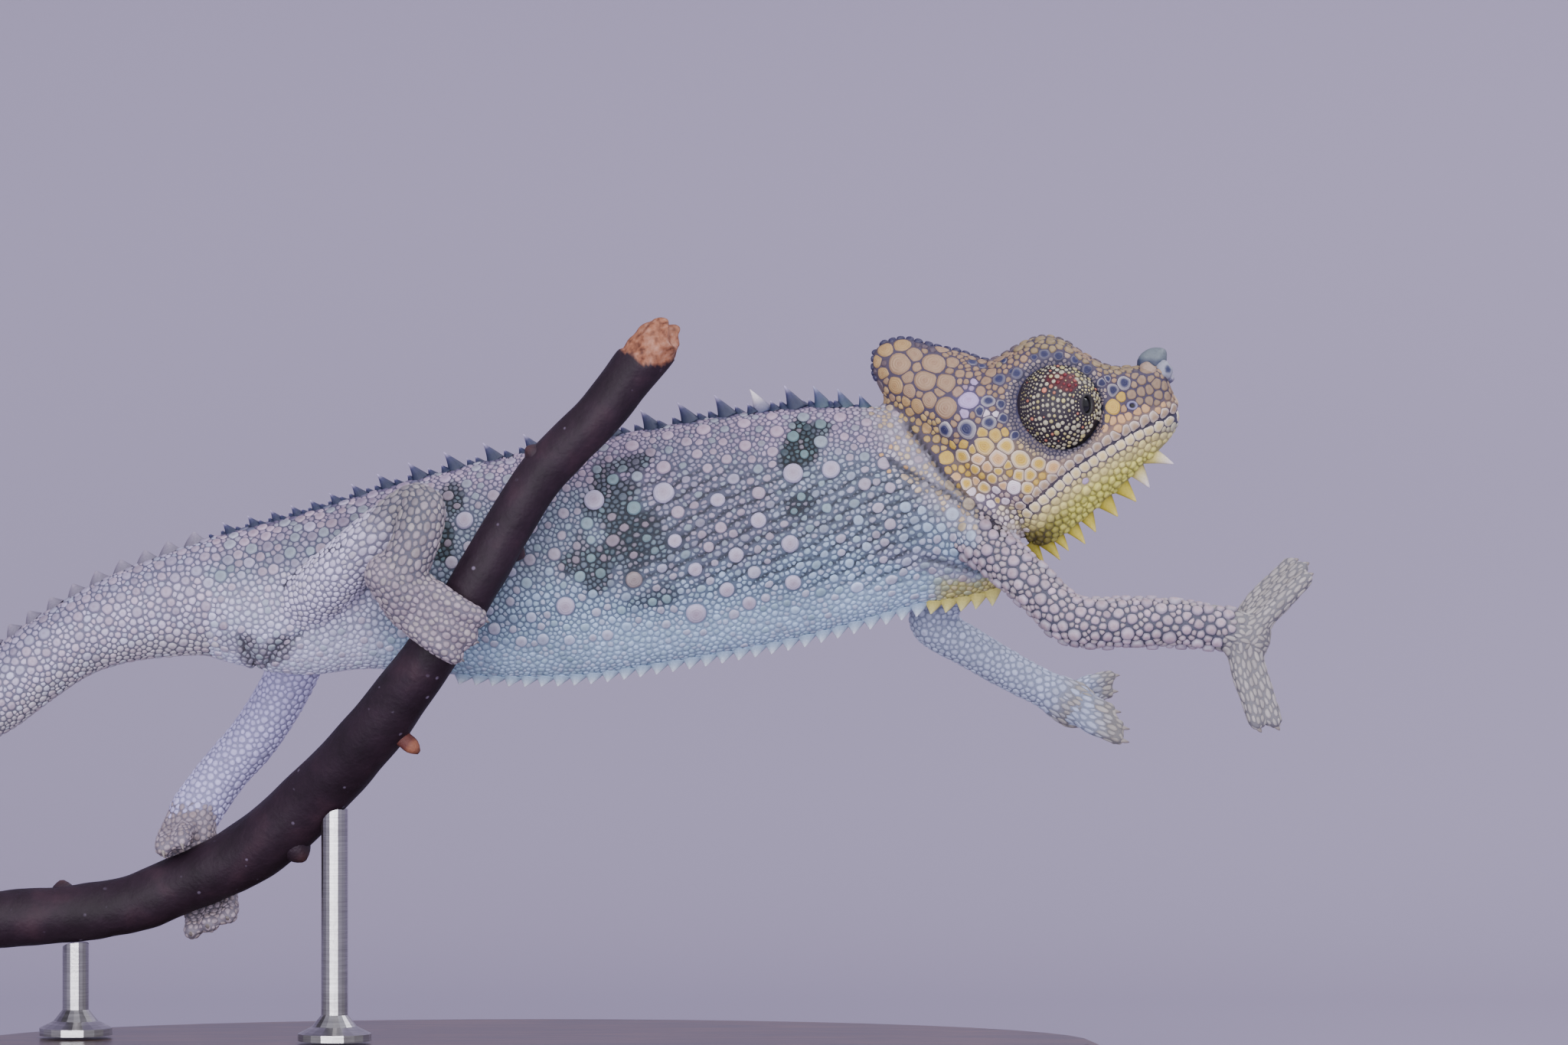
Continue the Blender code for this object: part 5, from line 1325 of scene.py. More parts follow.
def makeDomes(group, plan, inner, rim, height, tile):
    p, normals, radii, ids = (scales[column] for column in ("p", "n", "r", "id"))
    around, sharp, rings = plan["around"], plan["sharp"], plan["rings"]
    near = neighboursOf(p, group, plan["near"])
    c, n, r = p[group], normals[group], radii[group][:, None]
    way, e = scales["way"][group], scales["stretch"][group][:, None]
    way = unit(way - n * (way * n).sum(1, keepdims=True))
    across = np.cross(n, way)
    gap = p[near] - c[:, None]
    x = (gap * way[:, None]).sum(-1) / e
    y = (gap * across[:, None]).sum(-1)
    size = np.maximum(np.hypot(x, y), 0.8 * np.linalg.norm(gap, axis=2) / e) + 1e-6
    reach = (size ** 2 + r ** 2 - radii[near] ** 2) / (2 * size)
    groove = np.where(tile[group], domeRise["tileGroove"], domeRise["groove"])
    reach = np.clip(reach, 0.3 * r, None) - groove[:, None]
    mouthGap, above = mouthDistance(p)
    reach -= (isLabel(ids, "trunk") * domeRise["wrinkleGroove"] * wrinkle(p))[group][:, None]
    lipSide = np.where(isLabel(ids, "head") & (mouthGap < 1.1) & (p[:, 0] > 48), above, 0)
    reach -= domeRise["lipGroove"] * (lipSide[group][:, None] * lipSide[near] < 0)
    facing = (normals[near] * n[:, None]).sum(-1) > 0.1
    start = dice.uniform(0, 2 * pi, len(group))[:, None]
    angle = start + turnsOf(around)
    lean = np.cos(angle[:, :, None] - np.arctan2(y, x)[:, None, :])
    press = np.where(facing[:, None, :], np.maximum(lean, 0) / np.maximum(reach, 0.06)[:, None, :], 0)
    limit = np.where(tile[group][:, None], 1.9, np.where(r > 0.5, 1.2, 1.7))
    span = ((press ** sharp).sum(2) + (1 / (limit * r)) ** sharp) ** (-1 / sharp)
    u, v = np.cos(angle) * span * e, np.sin(angle) * span
    edge = c[:, None] + way[:, None] * u[..., None] + across[:, None] * v[..., None]
    flat = np.array([skinTree.find_nearest(Vector(q))[0] for q in edge.reshape(-1, 3)])
    edge = flat.reshape(edge.shape) - c[:, None]
    rows, tints, reaches = [], [], []
    h = height[group][:, None, None]
    for share, rise in rings:
        lift = -domeRise["sink"] if rise is None else h * rise
        rows.append(c[:, None] + edge * share + n[:, None] * lift)
        # towards its foot each dome takes its rim colour, for most scales a painted shade
        tint = blend(inner[group], rim[group], softStep(0.58, 0.97, share))
        tints.append(np.repeat(tint[:, None], around, 1))
        reaches.append(np.full((len(group), around), share))
    rows.append((c + n * h[:, 0])[:, None])
    tints.append(np.where(r > 0.4, inner[group] * (0.86, 0.8, 0.8), inner[group])[:, None])
    reaches.append(np.zeros((len(group), 1)))
    points = np.concatenate(rows, 1)
    spots = mapSpots(nearest[scales["source"][group]])
    wheel = np.stack((np.cos(angle), np.sin(angle)), -1)
    patch = np.concatenate([wheel * f for f, _ in rings] + [0 * wheel[:, :1]], 1)
    return {
        "points": points.reshape(-1, 3), "tint": np.concatenate(tints, 1).reshape(-1, 3),
        "reach": np.concatenate(reaches, 1).ravel(),
        "grain": np.repeat(dice.random(len(group)), points.shape[1]),
        "map": (spots[:, None] + patch * mapPatch).reshape(-1, 2),
        "faces": domeFaces(len(rings), around, len(group)),
    }


def joinParts(parts):
    first, faces = 0, []
    for part in parts:
        faces += [f + first for f in part["faces"] if len(f)]
        first += len(part["points"])
    columns = ("points", "tint", "reach", "grain", "map")
    return {k: np.concatenate([part[k] for part in parts]) for k in columns}, faces


def regionNames():
    names = np.array([labels[i] for i in scales["id"]], dtype=object)
    x, sign = scales["p"][:, 0], np.where(scales["p"][:, 1] < 0, "Right", "Left")
    area = np.where(x < -8, "Rump", np.where(x < 14, "Flank", "Chest"))
    base = (names == "tail") & (formPlace[nearest[scales["source"]]] < 0.3)
    names = np.where(names == "trunk", np.char.add(area, sign), names)
    names = np.where(names == "head", np.char.add("head", sign), names)
    return np.where(base, "tailBase", names)


# materials

def addNode(tree, kind, settings=None, inputs=None):
    node = tree.nodes.new("ShaderNode" + kind)
    for key, value in (settings or {}).items():
        setattr(node, key, value)
    for key, value in (inputs or {}).items():
        if isinstance(value, bpy.types.NodeSocket):
            tree.links.new(value, node.inputs[key])
        else:
            node.inputs[key].default_value = value
    return node


def objectPlace(tree):
    return addNode(tree, "TexCoord").outputs["Object"]


def readValues(tree, name):
    return addNode(tree, "Attribute", {"attribute_name": name}).outputs


def noise(tree, place, scale, detail, **more):
    inputs = {"Vector": place, "Scale": scale, "Detail": detail, **more}
    return addNode(tree, "TexNoise", inputs=inputs).outputs["Fac"]


def doMath(tree, operation, *values):
    return addNode(tree, "Math", {"operation": operation}, dict(enumerate(values))).outputs[0]


def ramp(tree, factor, *stops):  # each stop a position and a colour
    node = addNode(tree, "ValToRGB", inputs={"Fac": factor})
    points = node.color_ramp.elements
    while len(points) < len(stops):
        points.new(0.5)
    for point, (place, colour) in zip(points, stops):
        point.position = place
        point.color = (*paint(*colour), 1)
    return node.outputs["Color"]


def makeGrainGroup():  # mottles a colour and gives a fine relief, both of the size asked for
    group = bpy.data.node_groups.new("grain", "ShaderNodeTree")
    for name, way, kind in (
        ("Color", "INPUT", "Color"), ("Size", "INPUT", "Float"), ("Mottle", "INPUT", "Float"),
        ("Relief", "INPUT", "Float"), ("Color", "OUTPUT", "Color"), ("Normal", "OUTPUT", "Vector"),
    ):
        group.interface.new_socket(name, in_out=way, socket_type="NodeSocket" + kind)
    entry = group.nodes.new("NodeGroupInput").outputs
    place = objectPlace(group)
    half = doMath(group, "MULTIPLY_ADD", noise(group, place, entry["Size"], 4.0), 2.0, -1.0)
    share = doMath(group, "MULTIPLY_ADD", half, entry["Mottle"], 1.0)
    tinted = addNode(group, "VectorMath", {"operation": "SCALE"}, {0: entry["Color"], "Scale": share})
    fine = noise(group, place, doMath(group, "MULTIPLY", entry["Size"], 2.6), 3.0)
    bump = addNode(group, "Bump", inputs={
        "Strength": entry["Relief"], "Distance": 0.00008, "Height": fine})
    end = group.nodes.new("NodeGroupOutput")
    group.links.new(tinted.outputs["Vector"], end.inputs["Color"])
    group.links.new(bump.outputs["Normal"], end.inputs["Normal"])
    return group


grainGroup = makeGrainGroup()


def startMaterial(label, roughness, specular=0.5, more=()):
    material = bpy.data.materials.new(label)
    material.use_nodes = True
    tree = material.node_tree
    shader = tree.nodes["Principled BSDF"]
    for socket, value in (("Roughness", roughness), ("Specular IOR Level", specular), *more):
        shader.inputs[socket].default_value = value
    return material, tree, shader


def addGrain(tree, shader, colour, size, mottle, relief):
    grain = addNode(tree, "Group", {"node_tree": grainGroup},
                    {"Color": colour, "Size": size, "Mottle": mottle, "Relief": relief})
    tree.links.new(grain.outputs["Color"], shader.inputs["Base Color"])
    tree.links.new(grain.outputs["Normal"], shader.inputs["Normal"])
    return grain


def tintedMaterial(label, roughness, specular, size, mottle, relief):
    material, tree, shader = startMaterial(label, roughness, specular)
    addGrain(tree, shader, readValues(tree, "tint")["Color"], size, mottle, relief)
    return material


def makeScaleMaterial(label, ringDepth):  # growth rings run round each scale
    material, tree, shader = startMaterial(label, 0.46, 0.42)
    grain = addGrain(tree, shader, readValues(tree, "tint")["Color"], 3800.0, 0.16, 0.35)
    wave = doMath(tree, "MULTIPLY", readValues(tree, "reach")["Fac"], 26.0)
    bump = addNode(tree, "Bump", inputs={
        "Strength": ringDepth, "Distance": 0.00003, "Height": doMath(tree, "SINE", wave),
        "Normal": grain.outputs["Normal"]})
    tree.links.new(bump.outputs["Normal"], shader.inputs["Normal"])
    return material


scaleMaterial = makeScaleMaterial("scales", 0.25)
tileMaterial = makeScaleMaterial("headTiles", 0.5)
skinMaterial = tintedMaterial("skin", 0.55, 0.35, 6000.0, 0.2, 0.6)
hornMaterial = tintedMaterial("crestHorn", 0.4, 0.45, 5200.0, 0.3, 0.6)
turretMaterial = tintedMaterial("turretSkin", 0.5, 0.4, 5000.0, 0.3, 0.5)
beadMaterial = tintedMaterial("turretBeads", 0.4, 0.4, 6000.0, 0.1, 0.2)
print("materials made")


# the skin and its coat of scales

fleshNodes = [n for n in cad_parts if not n.startswith(("stand", "perch", "eye"))]
mesh = buildMesh("skin", skinPoints, skinQuads)
addTint(mesh, paintSkin())
addPiece("skin", mesh, skinMaterial, "body_skin", *fleshNodes)

innerTint, rimTint = paintScales()
heights, tileShare = domeHeights()
regions = regionNames()
real = scales["kind"] != kinds.index("hole")
total = 0
for region in sorted(set(regions)):
    parts = []
    smallest = 0.0
    for plan in domePlans:
        inSize = (scales["r"] > smallest) & (scales["r"] <= plan["upTo"])
        group = np.flatnonzero((regions == region) & real & inSize)
        if len(group):
            parts.append(makeDomes(group, plan, innerTint, rimTint, heights, tileShare))
        smallest = plan["upTo"]
    joined, faces = joinParts(parts)
    mesh = buildMesh("scales_" + region, joined["points"], *faces)
    addTint(mesh, joined["tint"])
    addValues(mesh, joined["reach"], "reach")
    addValues(mesh, joined["grain"], "grain")
    addBakeMap(mesh, joined["map"])
    slot = "limb_skin" if region.startswith(("arm", "leg", "foot", "hand")) else "body_skin"
    if region.startswith("head"):
        addPiece("scales_" + region, mesh, tileMaterial, "head_skin")
    else:
        addPiece("scales_" + region, mesh, scaleMaterial, slot)
    count = sum(len(f) * (f.shape[1] - 2) for f in faces)
    total += count
    print("coat", region, len(joined["points"]), "points,", count, "triangles")
print("coat in all:", total, "triangles")


# eyes: a turret of fine beads round a small round opening, and the eye inside it

beadRings = ((1.0, -0.3), (0.86, 0.5), (0.5, 0.92))  # share of the radius, and of the height


def beads(centres, normals, ways, sizes, stretch, rise, tints, around=7):
    across = unit(np.cross(normals, ways))
    ways = np.cross(across, normals)
    angle = turnsOf(around) + dice.uniform(0, 6.3, len(centres))[:, None]
    u, v = np.cos(angle) * (sizes * stretch)[:, None], np.sin(angle) * sizes[:, None]
    rows = []
    for share, lift in beadRings:
        rows.append(centres[:, None] + ways[:, None] * (u * share)[..., None] + across[:, None]
                    * (v * share)[..., None] + normals[:, None] * (rise * lift)[:, None, None])
    rows.append((centres + normals * rise[:, None])[:, None])
    points = np.concatenate(rows, 1)
    each = points.shape[1]
    faces = domeFaces(len(beadRings), around, len(centres))
    return points.reshape(-1, 3), np.repeat(tints, each, 0), faces, each


turretPlan = {
    "opening": 11.4, "lip": ((10.8, 4.1), (11.2, 4.3), (12.2, 4.42), (13.6, 4.42), (15, 4.37)), "end": 112,
    "firstRing": 16, "lastRing": 99, "gap": 0.1,
    "beadSizes": ((15, 0.1), (22, 0.15), (32, 0.215), (62, 0.22), (76, 0.15), (99, 0.08)),
    "red": (52, 71.5, 1.9, 0.8), "redTilt": -18,
}


def ringBeads(look, first, second):  # beads in rings round the opening, smaller towards the edge
    spots, sizes = [], []
    angle = turretPlan["firstRing"]
    while angle < turretPlan["lastRing"]:
        typical = float(np.interp(angle, *zip(*turretPlan["beadSizes"])))
        around = 2 * pi * sin(radians(angle)) * eyePlan["radius"]
        turn = 0.0
        while turn < 1 - 1.4 * typical / around:
            r = typical * dice.choice((0.42, 0.75, 1.0, 1.35), p=(0.2, 0.26, 0.34, 0.2))
            half = (r + turretPlan["gap"]) / around
            turn += half
            sway = angle + dice.uniform(-1, 1) * typical * 3
            cosine, sine = cos(radians(sway)), sin(radians(sway))
            place = 2 * pi * turn + angle
            spots.append(cosine * look + sine * (cos(place) * first + sin(place) * second))
            sizes.append(r)
            turn += half
        angle += degrees((typical * 1.9 + turretPlan["gap"]) / eyePlan["radius"])
    return np.array(spots), np.array(sizes)


def turretShade(p):  # painted shadow of the gap under the front of the turret, where it meets the lid
    x, z = p[:, 0] - eyePlan["centre"][0], p[:, 2] - eyePlan["centre"][2]
    down = np.degrees(np.arctan2(-z, x))
    return softStep(3.9, 4.1, np.hypot(x, z)) * softStep(10, 26, down) * (1 - softStep(70, 88, down))


def turretRed(p):
    return spot(p, *turretPlan["red"], turretPlan["redTilt"], 0.35)[:, None]


def turretMesh(name, centre, look, first, ring):
    bulge = np.arange(18.5, turretPlan["end"], 1.6)
    profile = [(20, 3.3), (13, 3.5), *turretPlan["lip"]]
    profile += [(a, eyePlan["radius"] - 0.04 + 0.022 * sin(a * 1.9)) for a in bulge]
    rows = []
    for angle, r in profile:
        narrow = 0.28 * (1 - float(softStep(13, 20, angle)))
        flat = ring - narrow * (ring @ first)[:, None] * first
        rows.append(centre + r * (cos(radians(angle)) * look + sin(radians(angle)) * flat))
    points = np.vstack(rows)
    around = len(ring)
    tint = blend(paint(38, 30, 42), paint(66, 16, 28), turretRed(points))
    tint = tint * (1 - 0.9 * turretShade(points)[:, None])
    # painted shade inside the eye's opening: the inner rows of the lip are near black, the next rows dark
    tint[: around * 3] = paint(16, 15, 20)
    tint[around * 3: around * 6] = paint(34, 32, 34)
    mesh = buildMesh(name, points, stripFaces(len(rows), around))
    addTint(mesh, tint)
    return mesh


def beadMesh(name, centre, look, first, second):
    spots, sizes = ringBeads(look, first, second)
    clear = turretShade(centre + spots * eyePlan["radius"]) < 0.4
    spots, sizes = spots[clear], sizes[clear]
    centres = centre + spots * (eyePlan["radius"] - 0.03)
    stretches = dice.uniform(0.95, 1.2, len(spots))
    pick = dice.random((len(spots), 1))
    tints = np.where(pick < 0.05, paint(186, 116, 92), paint(172, 166, 144))
    tints = np.where(pick > 0.75, paint(178, 168, 116), tints)
    tints = tints * dice.uniform(0.75, 1.1, (len(spots), 1))
    reddish = np.where(pick < 0.3, paint(108, 26, 38), paint(140, 76, 70))
    tints = np.where((turretRed(centres) > 0.4) & (pick < 0.55), reddish, tints)
    edge = softStep(70, 96, np.degrees(np.arccos(np.clip(spots @ look, -1, 1))))[:, None]
    tints = tints * (1 - 0.55 * edge)
    ways = unit(np.cross(look, spots))
    points, tint, faces, each = beads(centres, spots, ways, sizes, stretches, sizes * 0.5, tints)
    mesh = buildMesh(name, points, *faces)
    addTint(mesh, tint)
    flat = np.column_stack([0.5 + 0.45 * (spots @ first), 0.5 + 0.45 * (spots @ second)])
    addBakeMap(mesh, np.repeat(flat, each, 0))
    print(name, len(spots), "beads")
    return mesh


def eyeballMesh(name, ball, look, ring):
    angles = np.radians(np.linspace(0.5, 179.5, 60))
    points = np.vstack([ball + eyePlan["ballRadius"] * (cos(a) * look + sin(a) * ring) for a in angles])
    mesh = buildMesh(name, points, stripFaces(len(angles), len(ring)))
    out = np.degrees(np.repeat(angles, len(ring)))[:, None]
    iris = np.where(out < eyePlan["iris"], paint(74, 52, 30), paint(15, 12, 14))
    addTint(mesh, np.where(out < eyePlan["pupil"], paint(5, 5, 7), iris))
    return mesh


for sign, side in ((-1, "right"), (1, "left")):
    centre = mirrored(eyePlan["centre"], sign)
    turn, lift = radians(eyePlan["forward"]), radians(eyePlan["lift"])
    look = unit((sin(turn), sign * cos(turn), sin(lift)))
    first = unit(np.cross(look, upWay))
    second = np.cross(look, first)
    turns = turnsOf(120)
    ring = np.cos(turns)[:, None] * first + np.sin(turns)[:, None] * second
    mesh = turretMesh("turret_" + side, centre, look, first, ring)
    addPiece("turret_" + side, mesh, turretMaterial, "turret_skin", "eye_turret_" + side)
    mesh = beadMesh("turretBeads_" + side, centre, look, first, second)
    addPiece("turretBeads_" + side, mesh, beadMaterial, "turret_skin")
    eyeMaterial, tree, shader = startMaterial("eye_" + side, 0.15, 0.5, [("Coat Weight", 0.3)])
    tree.links.new(readValues(tree, "tint")["Color"], shader.inputs["Base Color"])
    mesh = eyeballMesh("eyeball_" + side, centre + look * eyePlan["ballOut"], look, ring)
    addPiece("eyeball_" + side, mesh, eyeMaterial, "eye", "eyeball_" + side)


# spines of the crests, each a thorn with hollow flanks

thornTints = {  # colours from the root to the tip
    "navy": ((34, 42, 66), (30, 36, 66), (46, 46, 86), (180, 168, 204)),
    "sea": ((56, 74, 88), (50, 62, 88), (62, 66, 104), (160, 156, 190)),
    "shed": ((44, 50, 84), (120, 116, 140), (206, 196, 206), (210, 202, 212)),
    "tail": ((104, 98, 116), (112, 106, 124), (122, 114, 134), (142, 134, 154)),
    "white": ((150, 174, 202), (168, 188, 212), (196, 208, 226), (224, 226, 238)),
    "chest": ((186, 176, 96), (200, 190, 110), (208, 200, 128), (214, 208, 150)),
    "throat": ((152, 142, 44), (168, 156, 48), (188, 172, 62), (204, 188, 110)),
    "front": ((176, 162, 74), (192, 180, 106), (208, 196, 176), (212, 200, 216)),
}


def thorn(root, lean, ahead, height, long, wide, backward, tint, around=14, power=1.15):
    side = unit(np.cross(lean, ahead))
    front = np.cross(side, lean)
    turns = turnsOf(around)
    tints = np.array([paint(*t) for t in thornTints[tint]]).T
    rows, shades = [], []
    for f in (0, 0.08, 0.2, 0.35, 0.5, 0.65, 0.8, 0.92, 0.985):
        centre = root + lean * (height * f) - front * (backward * height * f * f)
        size = (1 - f) ** power * 0.94 + 0.03
        rib = 1 + 0.05 * np.cos(turns * 5) * (1 - f)
        rows.append(centre + front * (np.cos(turns) * long * size * rib)[:, None]
                    + side * (np.sin(turns) * wide * size * rib)[:, None])
        shades.append([np.interp(f, (0, 0.35, 0.7, 1), t) for t in tints])
    return closedRows(rows, shades)


def joinThorns(name, thorns, slot, material=hornMaterial):
    first, quads, caps = 0, [], []
    for points, _, (sides, low, high) in thorns:
        quads.append(sides + first)
        caps += [low + first, high + first]
        first += len(points)
    mesh = buildMesh(name, np.vstack([t[0] for t in thorns]), np.vstack(quads), *caps)
    addTint(mesh, np.vstack([t[1] for t in thorns]))
    addPiece(name, mesh, material, slot)


crestShapes = {  # root's depth, height and its extra, size and its growth, width, lean back, points, power
    "back": (0.45, 1.1, 0.45, 0.4, 0.36, 0.8, 0.14, 14, 1.15),
    "small": (0.4, 1, 0.4, 0.34, 0.5, 1, 0.1, 10, 1.15),
    "tail": (0.35, 0.85, 0.3, 0.45, 0.8, 0.7, 0.3, 10, 0.8),
}


def crestTint(kind, x):
    if kind != "back":
        return "tail" if kind == "tail" else "navy"
    return "shed" if 20.5 < x < 24.0 else "sea" if x > 28.5 else "navy"


crestThorns, bellyThorns = [], []
for kind, (sunk, rise, extra, base, growth, width, back, around, power) in crestShapes.items():
    for root, lean, ahead, height in spines[kind]:
        if kind == "small" and root[0] >= 31:
            continue
        size = base + growth * height
        crestThorns.append(thorn(root - lean * sunk, lean, ahead, height * rise + extra, size, size * width,
                                 back, crestTint(kind, root[0]), around, power))
joinThorns("backCrest", crestThorns, "body_skin")
for root, lean, ahead, height in spines["belly"]:
    if root[0] >= -7:
        tint = "chest" if root[0] > 38.5 else "white"
        root, height = root - lean * 0.3, height + 0.45
        bellyThorns.append(thorn(root, lean, ahead, height, 1.15, 0.75, 0.2, tint, 10, 1.0))
joinThorns("bellyCrest", bellyThorns, "body_skin")

throatSpines = (  # where each cone's base and tip stand in side view, and half its length
    ((61.2, 64.3), (63.4, 63.8), 0.62), ((59.6, 62.7), (61.1, 61.2), 0.66),
    ((58.1, 61.2), (59.8, 59.9), 0.72), ((56.4, 59.8), (58, 58.4), 0.76),
    ((54.6, 58.3), (55.8, 56.8), 0.66), ((53.3, 57.1), (54.8, 55.7), 0.6), ((52, 56.1), (53.1, 55), 0.5),
    ((51, 55.4), (52.3, 54.1), 0.5), ((49.6, 55), (50.7, 53.7), 0.42),
)
throatThorns = []
for k, (root, tip, size) in enumerate(throatSpines):
    root, tip = sideView(*root), sideView(*tip)
    lean = unit(tip - root)
    start = root - lean * 1.1
    height = np.linalg.norm(tip - start) * 0.9
    throatThorns.append(thorn(start, lean, sideView(-lean[2], lean[0]), height, size * 1.8, size * 1.1, 0.12,
                              "front" if k < 2 else "throat", 14, 0.95))
joinThorns("throatCrest", throatThorns, "jaw_skin")
print("crests:", len(crestThorns), len(bellyThorns), len(throatThorns))


# the snout's knobs, the nostrils and the claws

knobPlan = (  # centre, half sizes, lean, forward lean of the top, where the foot's colour ends, colours
    ((60.8, 0, 73.3), (1.45, 1.35, 1.7), (0.08, 0, 1), 0.6, 14, (98, 107, 116), (44, 52, 78)),
    ((61.9, 0.95, 72.65), (0.9, 1, 0.75), (0.45, 0.85, 0.15), 0.1, 74, (44, 50, 84), (134, 136, 152)),
    ((60.35, 1.6, 72.5), (0.85, 1.05, 0.75), (0, 0.95, 0.35), 0, 20, (150, 128, 114), (92, 82, 96)),
    ((62.35, 0, 71.9), (0.55, 0.75, 0.7), (0.9, 0, 0.3), 0, 30, (140, 136, 154), (92, 90, 120)),
)


def knob(sign, centre, sizes, lean, forward, edge, middle, foot, around=24):
    long, wide, tall = sizes
    lean, centre = unit(mirrored(lean, sign)), mirrored(centre, sign)
    side = unit(np.cross(lean, (1, 0.01, 0.2)))
    front = np.cross(side, lean)
    turns = turnsOf(around)
    corner = 1 + 0.07 * np.cos(turns * 3 + centre[0] * 5) + 0.05 * np.cos(turns * 5)
    rows, shades = [], []
    for angle in (-40, -15, 8, 24, 38, 50, 60, 68, 76, 84):
        up, out = sin(radians(angle)), cos(radians(angle)) ** 0.75
        rows.append(centre + lean * up * tall + front * forward * max(up, 0) ** 2
                    + front * (np.cos(turns) * corner * long * out)[:, None]
                    + side * (np.sin(turns) * corner * wide * out)[:, None])
        shades.append(blend(paint(*foot), paint(*middle), float(softStep(edge - 8, edge + 8, angle))))
    return closedRows(rows, shades)


nostrilRings = (  # radius, height, colour
    (0.5, -0.1, (84, 80, 120)), (0.46, 0.1, (110, 106, 146)), (0.36, 0.17, (132, 128, 160)),
    # the two innermost rings are near black: painted shade of the nostril's opening, which the rings only
    # dish in a little
    (0.26, 0.13, (86, 80, 116)), (0.19, 0.03, (20, 18, 30)), (0.08, 0.01, (10, 9, 14)),
)


def nostril(sign):
    p, n = onSkin(*nostrilSpot, sign)
    first = unit(np.cross(n, upWay))
    turns = turnsOf(20)
    ring = np.cos(turns)[:, None] * first * 1.25 + np.sin(turns)[:, None] * np.cross(n, first)
    rows = [p + ring * size + n * rise for size, rise, _ in nostrilRings]
    return closedRows(rows, [paint(*tint) for *_, tint in nostrilRings])


knobs = [knob(sign, *plan) for plan in knobPlan for sign in ((-1, 1) if plan[0][1] else (1,))]
joinThorns("snoutKnobs", knobs + [nostril(-1), nostril(1)], "head_skin")

clawPlan = {"length": 1.2, "radius": 0.34, "start": -0.35, "bend": 0.3, "flat": 0.7}


def claw(root, ahead, curl):
    length, turns = clawPlan["length"], turnsOf(10)
    side = unit(np.cross(ahead, curl))
    lift = np.cross(side, ahead)
    rows, shades = [], []
    for f in np.linspace(clawPlan["start"], 1, 11):
        out = max(f, 0)
        bend = unit(curl) * out ** 1.8 * clawPlan["bend"] * length
        centre = root + ahead * length * f * (1 - 0.12 * out) + bend
        size = clawPlan["radius"] * (1 - out) ** 0.7 + 0.02
        rows.append(centre + lift * (np.cos(turns) * size)[:, None]
                    + side * (np.sin(turns) * size * clawPlan["flat"])[:, None])
        shades.append(blend(paint(156, 148, 144), paint(112, 102, 102), out))
    return closedRows(rows, shades)


joinThorns("claws", [claw(*place) for place in claws], "limb_skin")
print("knobs and claws made")


# the branch, its bark and its cut ends

barkPlan = {
    "around": 48, "step": 0.3,
    "cut": ((0.86, 0.05), (0.6, 0.1), (0.3, 0.06), (0.02, 0.1)),  # radius and depth of the rings on a cut end
}


def barkEnd(turns):  # how far before the broken end the bark stops
    ragged = 0.3 * np.sin(turns * 3 + 1.0) + 0.15 * np.sin(turns * 7)
    return 4.2 + 1.1 * np.cos(turns) - 0.5 * np.sin(turns) + ragged


def barkRings():
    step, turns = barkPlan["step"], turnsOf(barkPlan["around"])
    row = curveAt(branchLine, np.arange(0, branchLine[-1, 0] - 0.05, step))
    ahead, side = framesAlong(row[:, :3])
    top = np.cross(ahead, side)
    rows, woods = [], []
    for i, (c, s, t, r) in enumerate(zip(row[:, :3], side, top, row[:, 3])):
        out = np.cos(turns)[:, None] * t + np.sin(turns)[:, None] * s
        p = c + out * r
        left = (len(row) - 1 - i) * step
        wood = softStep(-0.12, 0.12, barkEnd(turns) - left)
        lump = 0.08 * drift(p, 6.0, 12) + 0.03 * drift(p, 2.0, 18) - 0.09
        lump += wood * (0.22 * drift(p, 1.7, 6) - 0.24)
        back = (0.55 + 0.45 * np.sin(turns * 2 + 0.6)) * max(0, 1.8 - left)
        rows.append(c + out * (r + lump)[:, None] - ahead[i] * back[:, None])
        woods.append(wood)
    return np.array(rows), ahead, np.concatenate(woods)


barkRows, barkAhead, rawWood = barkRings()
around, count = barkPlan["around"], len(barkRows)
allPoints, quads, caps = [barkRows.reshape(-1, 3)], [stripFaces(count, around)], []
k = np.arange(around)
nextK = (k + 1) % around
inner = count * around
for end, sign, outer in ((0, 1, 0), (-1, -1, (count - 1) * around)):
    centre = barkRows[end].mean(0)
    for share, depth in barkPlan["cut"]:
        ring = centre + (barkRows[end] - centre) * share + barkAhead[end] * sign * depth
        ring = ring + barkAhead[end] * (0.08 * drift(ring * 3, 1.4, 6))[:, None] * (1 if end else 0.5)
        allPoints.append(ring)
        quads.append(np.stack([outer + k, inner + k, inner + nextK, outer + nextK], -1)[:, ::sign])
        outer, inner = inner, inner + around
    caps.append((outer + k)[None, ::-sign])
allPoints = np.vstack(allPoints)
mesh = buildMesh("branch", allPoints, np.vstack(quads), np.vstack(caps))
cut = np.ones(len(allPoints))
cut[: len(rawWood)] = rawWood
addValues(mesh, cut, "cut")

barkMaterial, tree, shader = startMaterial("bark", 0.6, 0.25)
place = objectPlace(tree)
base = ramp(tree, noise(tree, place, 260.0, 6.0),
            (0.3, (26, 15, 25)), (0.55, (38, 24, 36)), (0.8, (56, 36, 47)))
specks = addNode(tree, "TexVoronoi", inputs={"Vector": place, "Scale": 700.0, "Randomness": 1.0})
dots = addNode(tree, "MapRange", {"interpolation_type": "SMOOTHSTEP"},
               {"Value": specks.outputs["Distance"], 1: 0.17, 2: 0.08, 3: 0.0, 4: 1.0})
some = addNode(tree, "MapRange",
               inputs={"Value": noise(tree, place, 420.0, 2.0), 1: 0.54, 2: 0.64, 3: 0.0, 4: 0.7})
speckled = addNode(tree, "Mix", {"data_type": "RGBA"}, {
    0: doMath(tree, "MULTIPLY", dots.outputs[0], some.outputs[0]), 6: base, 7: (*paint(118, 106, 128), 1)})
wood = ramp(tree, noise(tree, place, 1500.0, 4.0),
            (0.3, (84, 48, 38)), (0.5, (140, 90, 68)), (0.75, (168, 122, 104)))
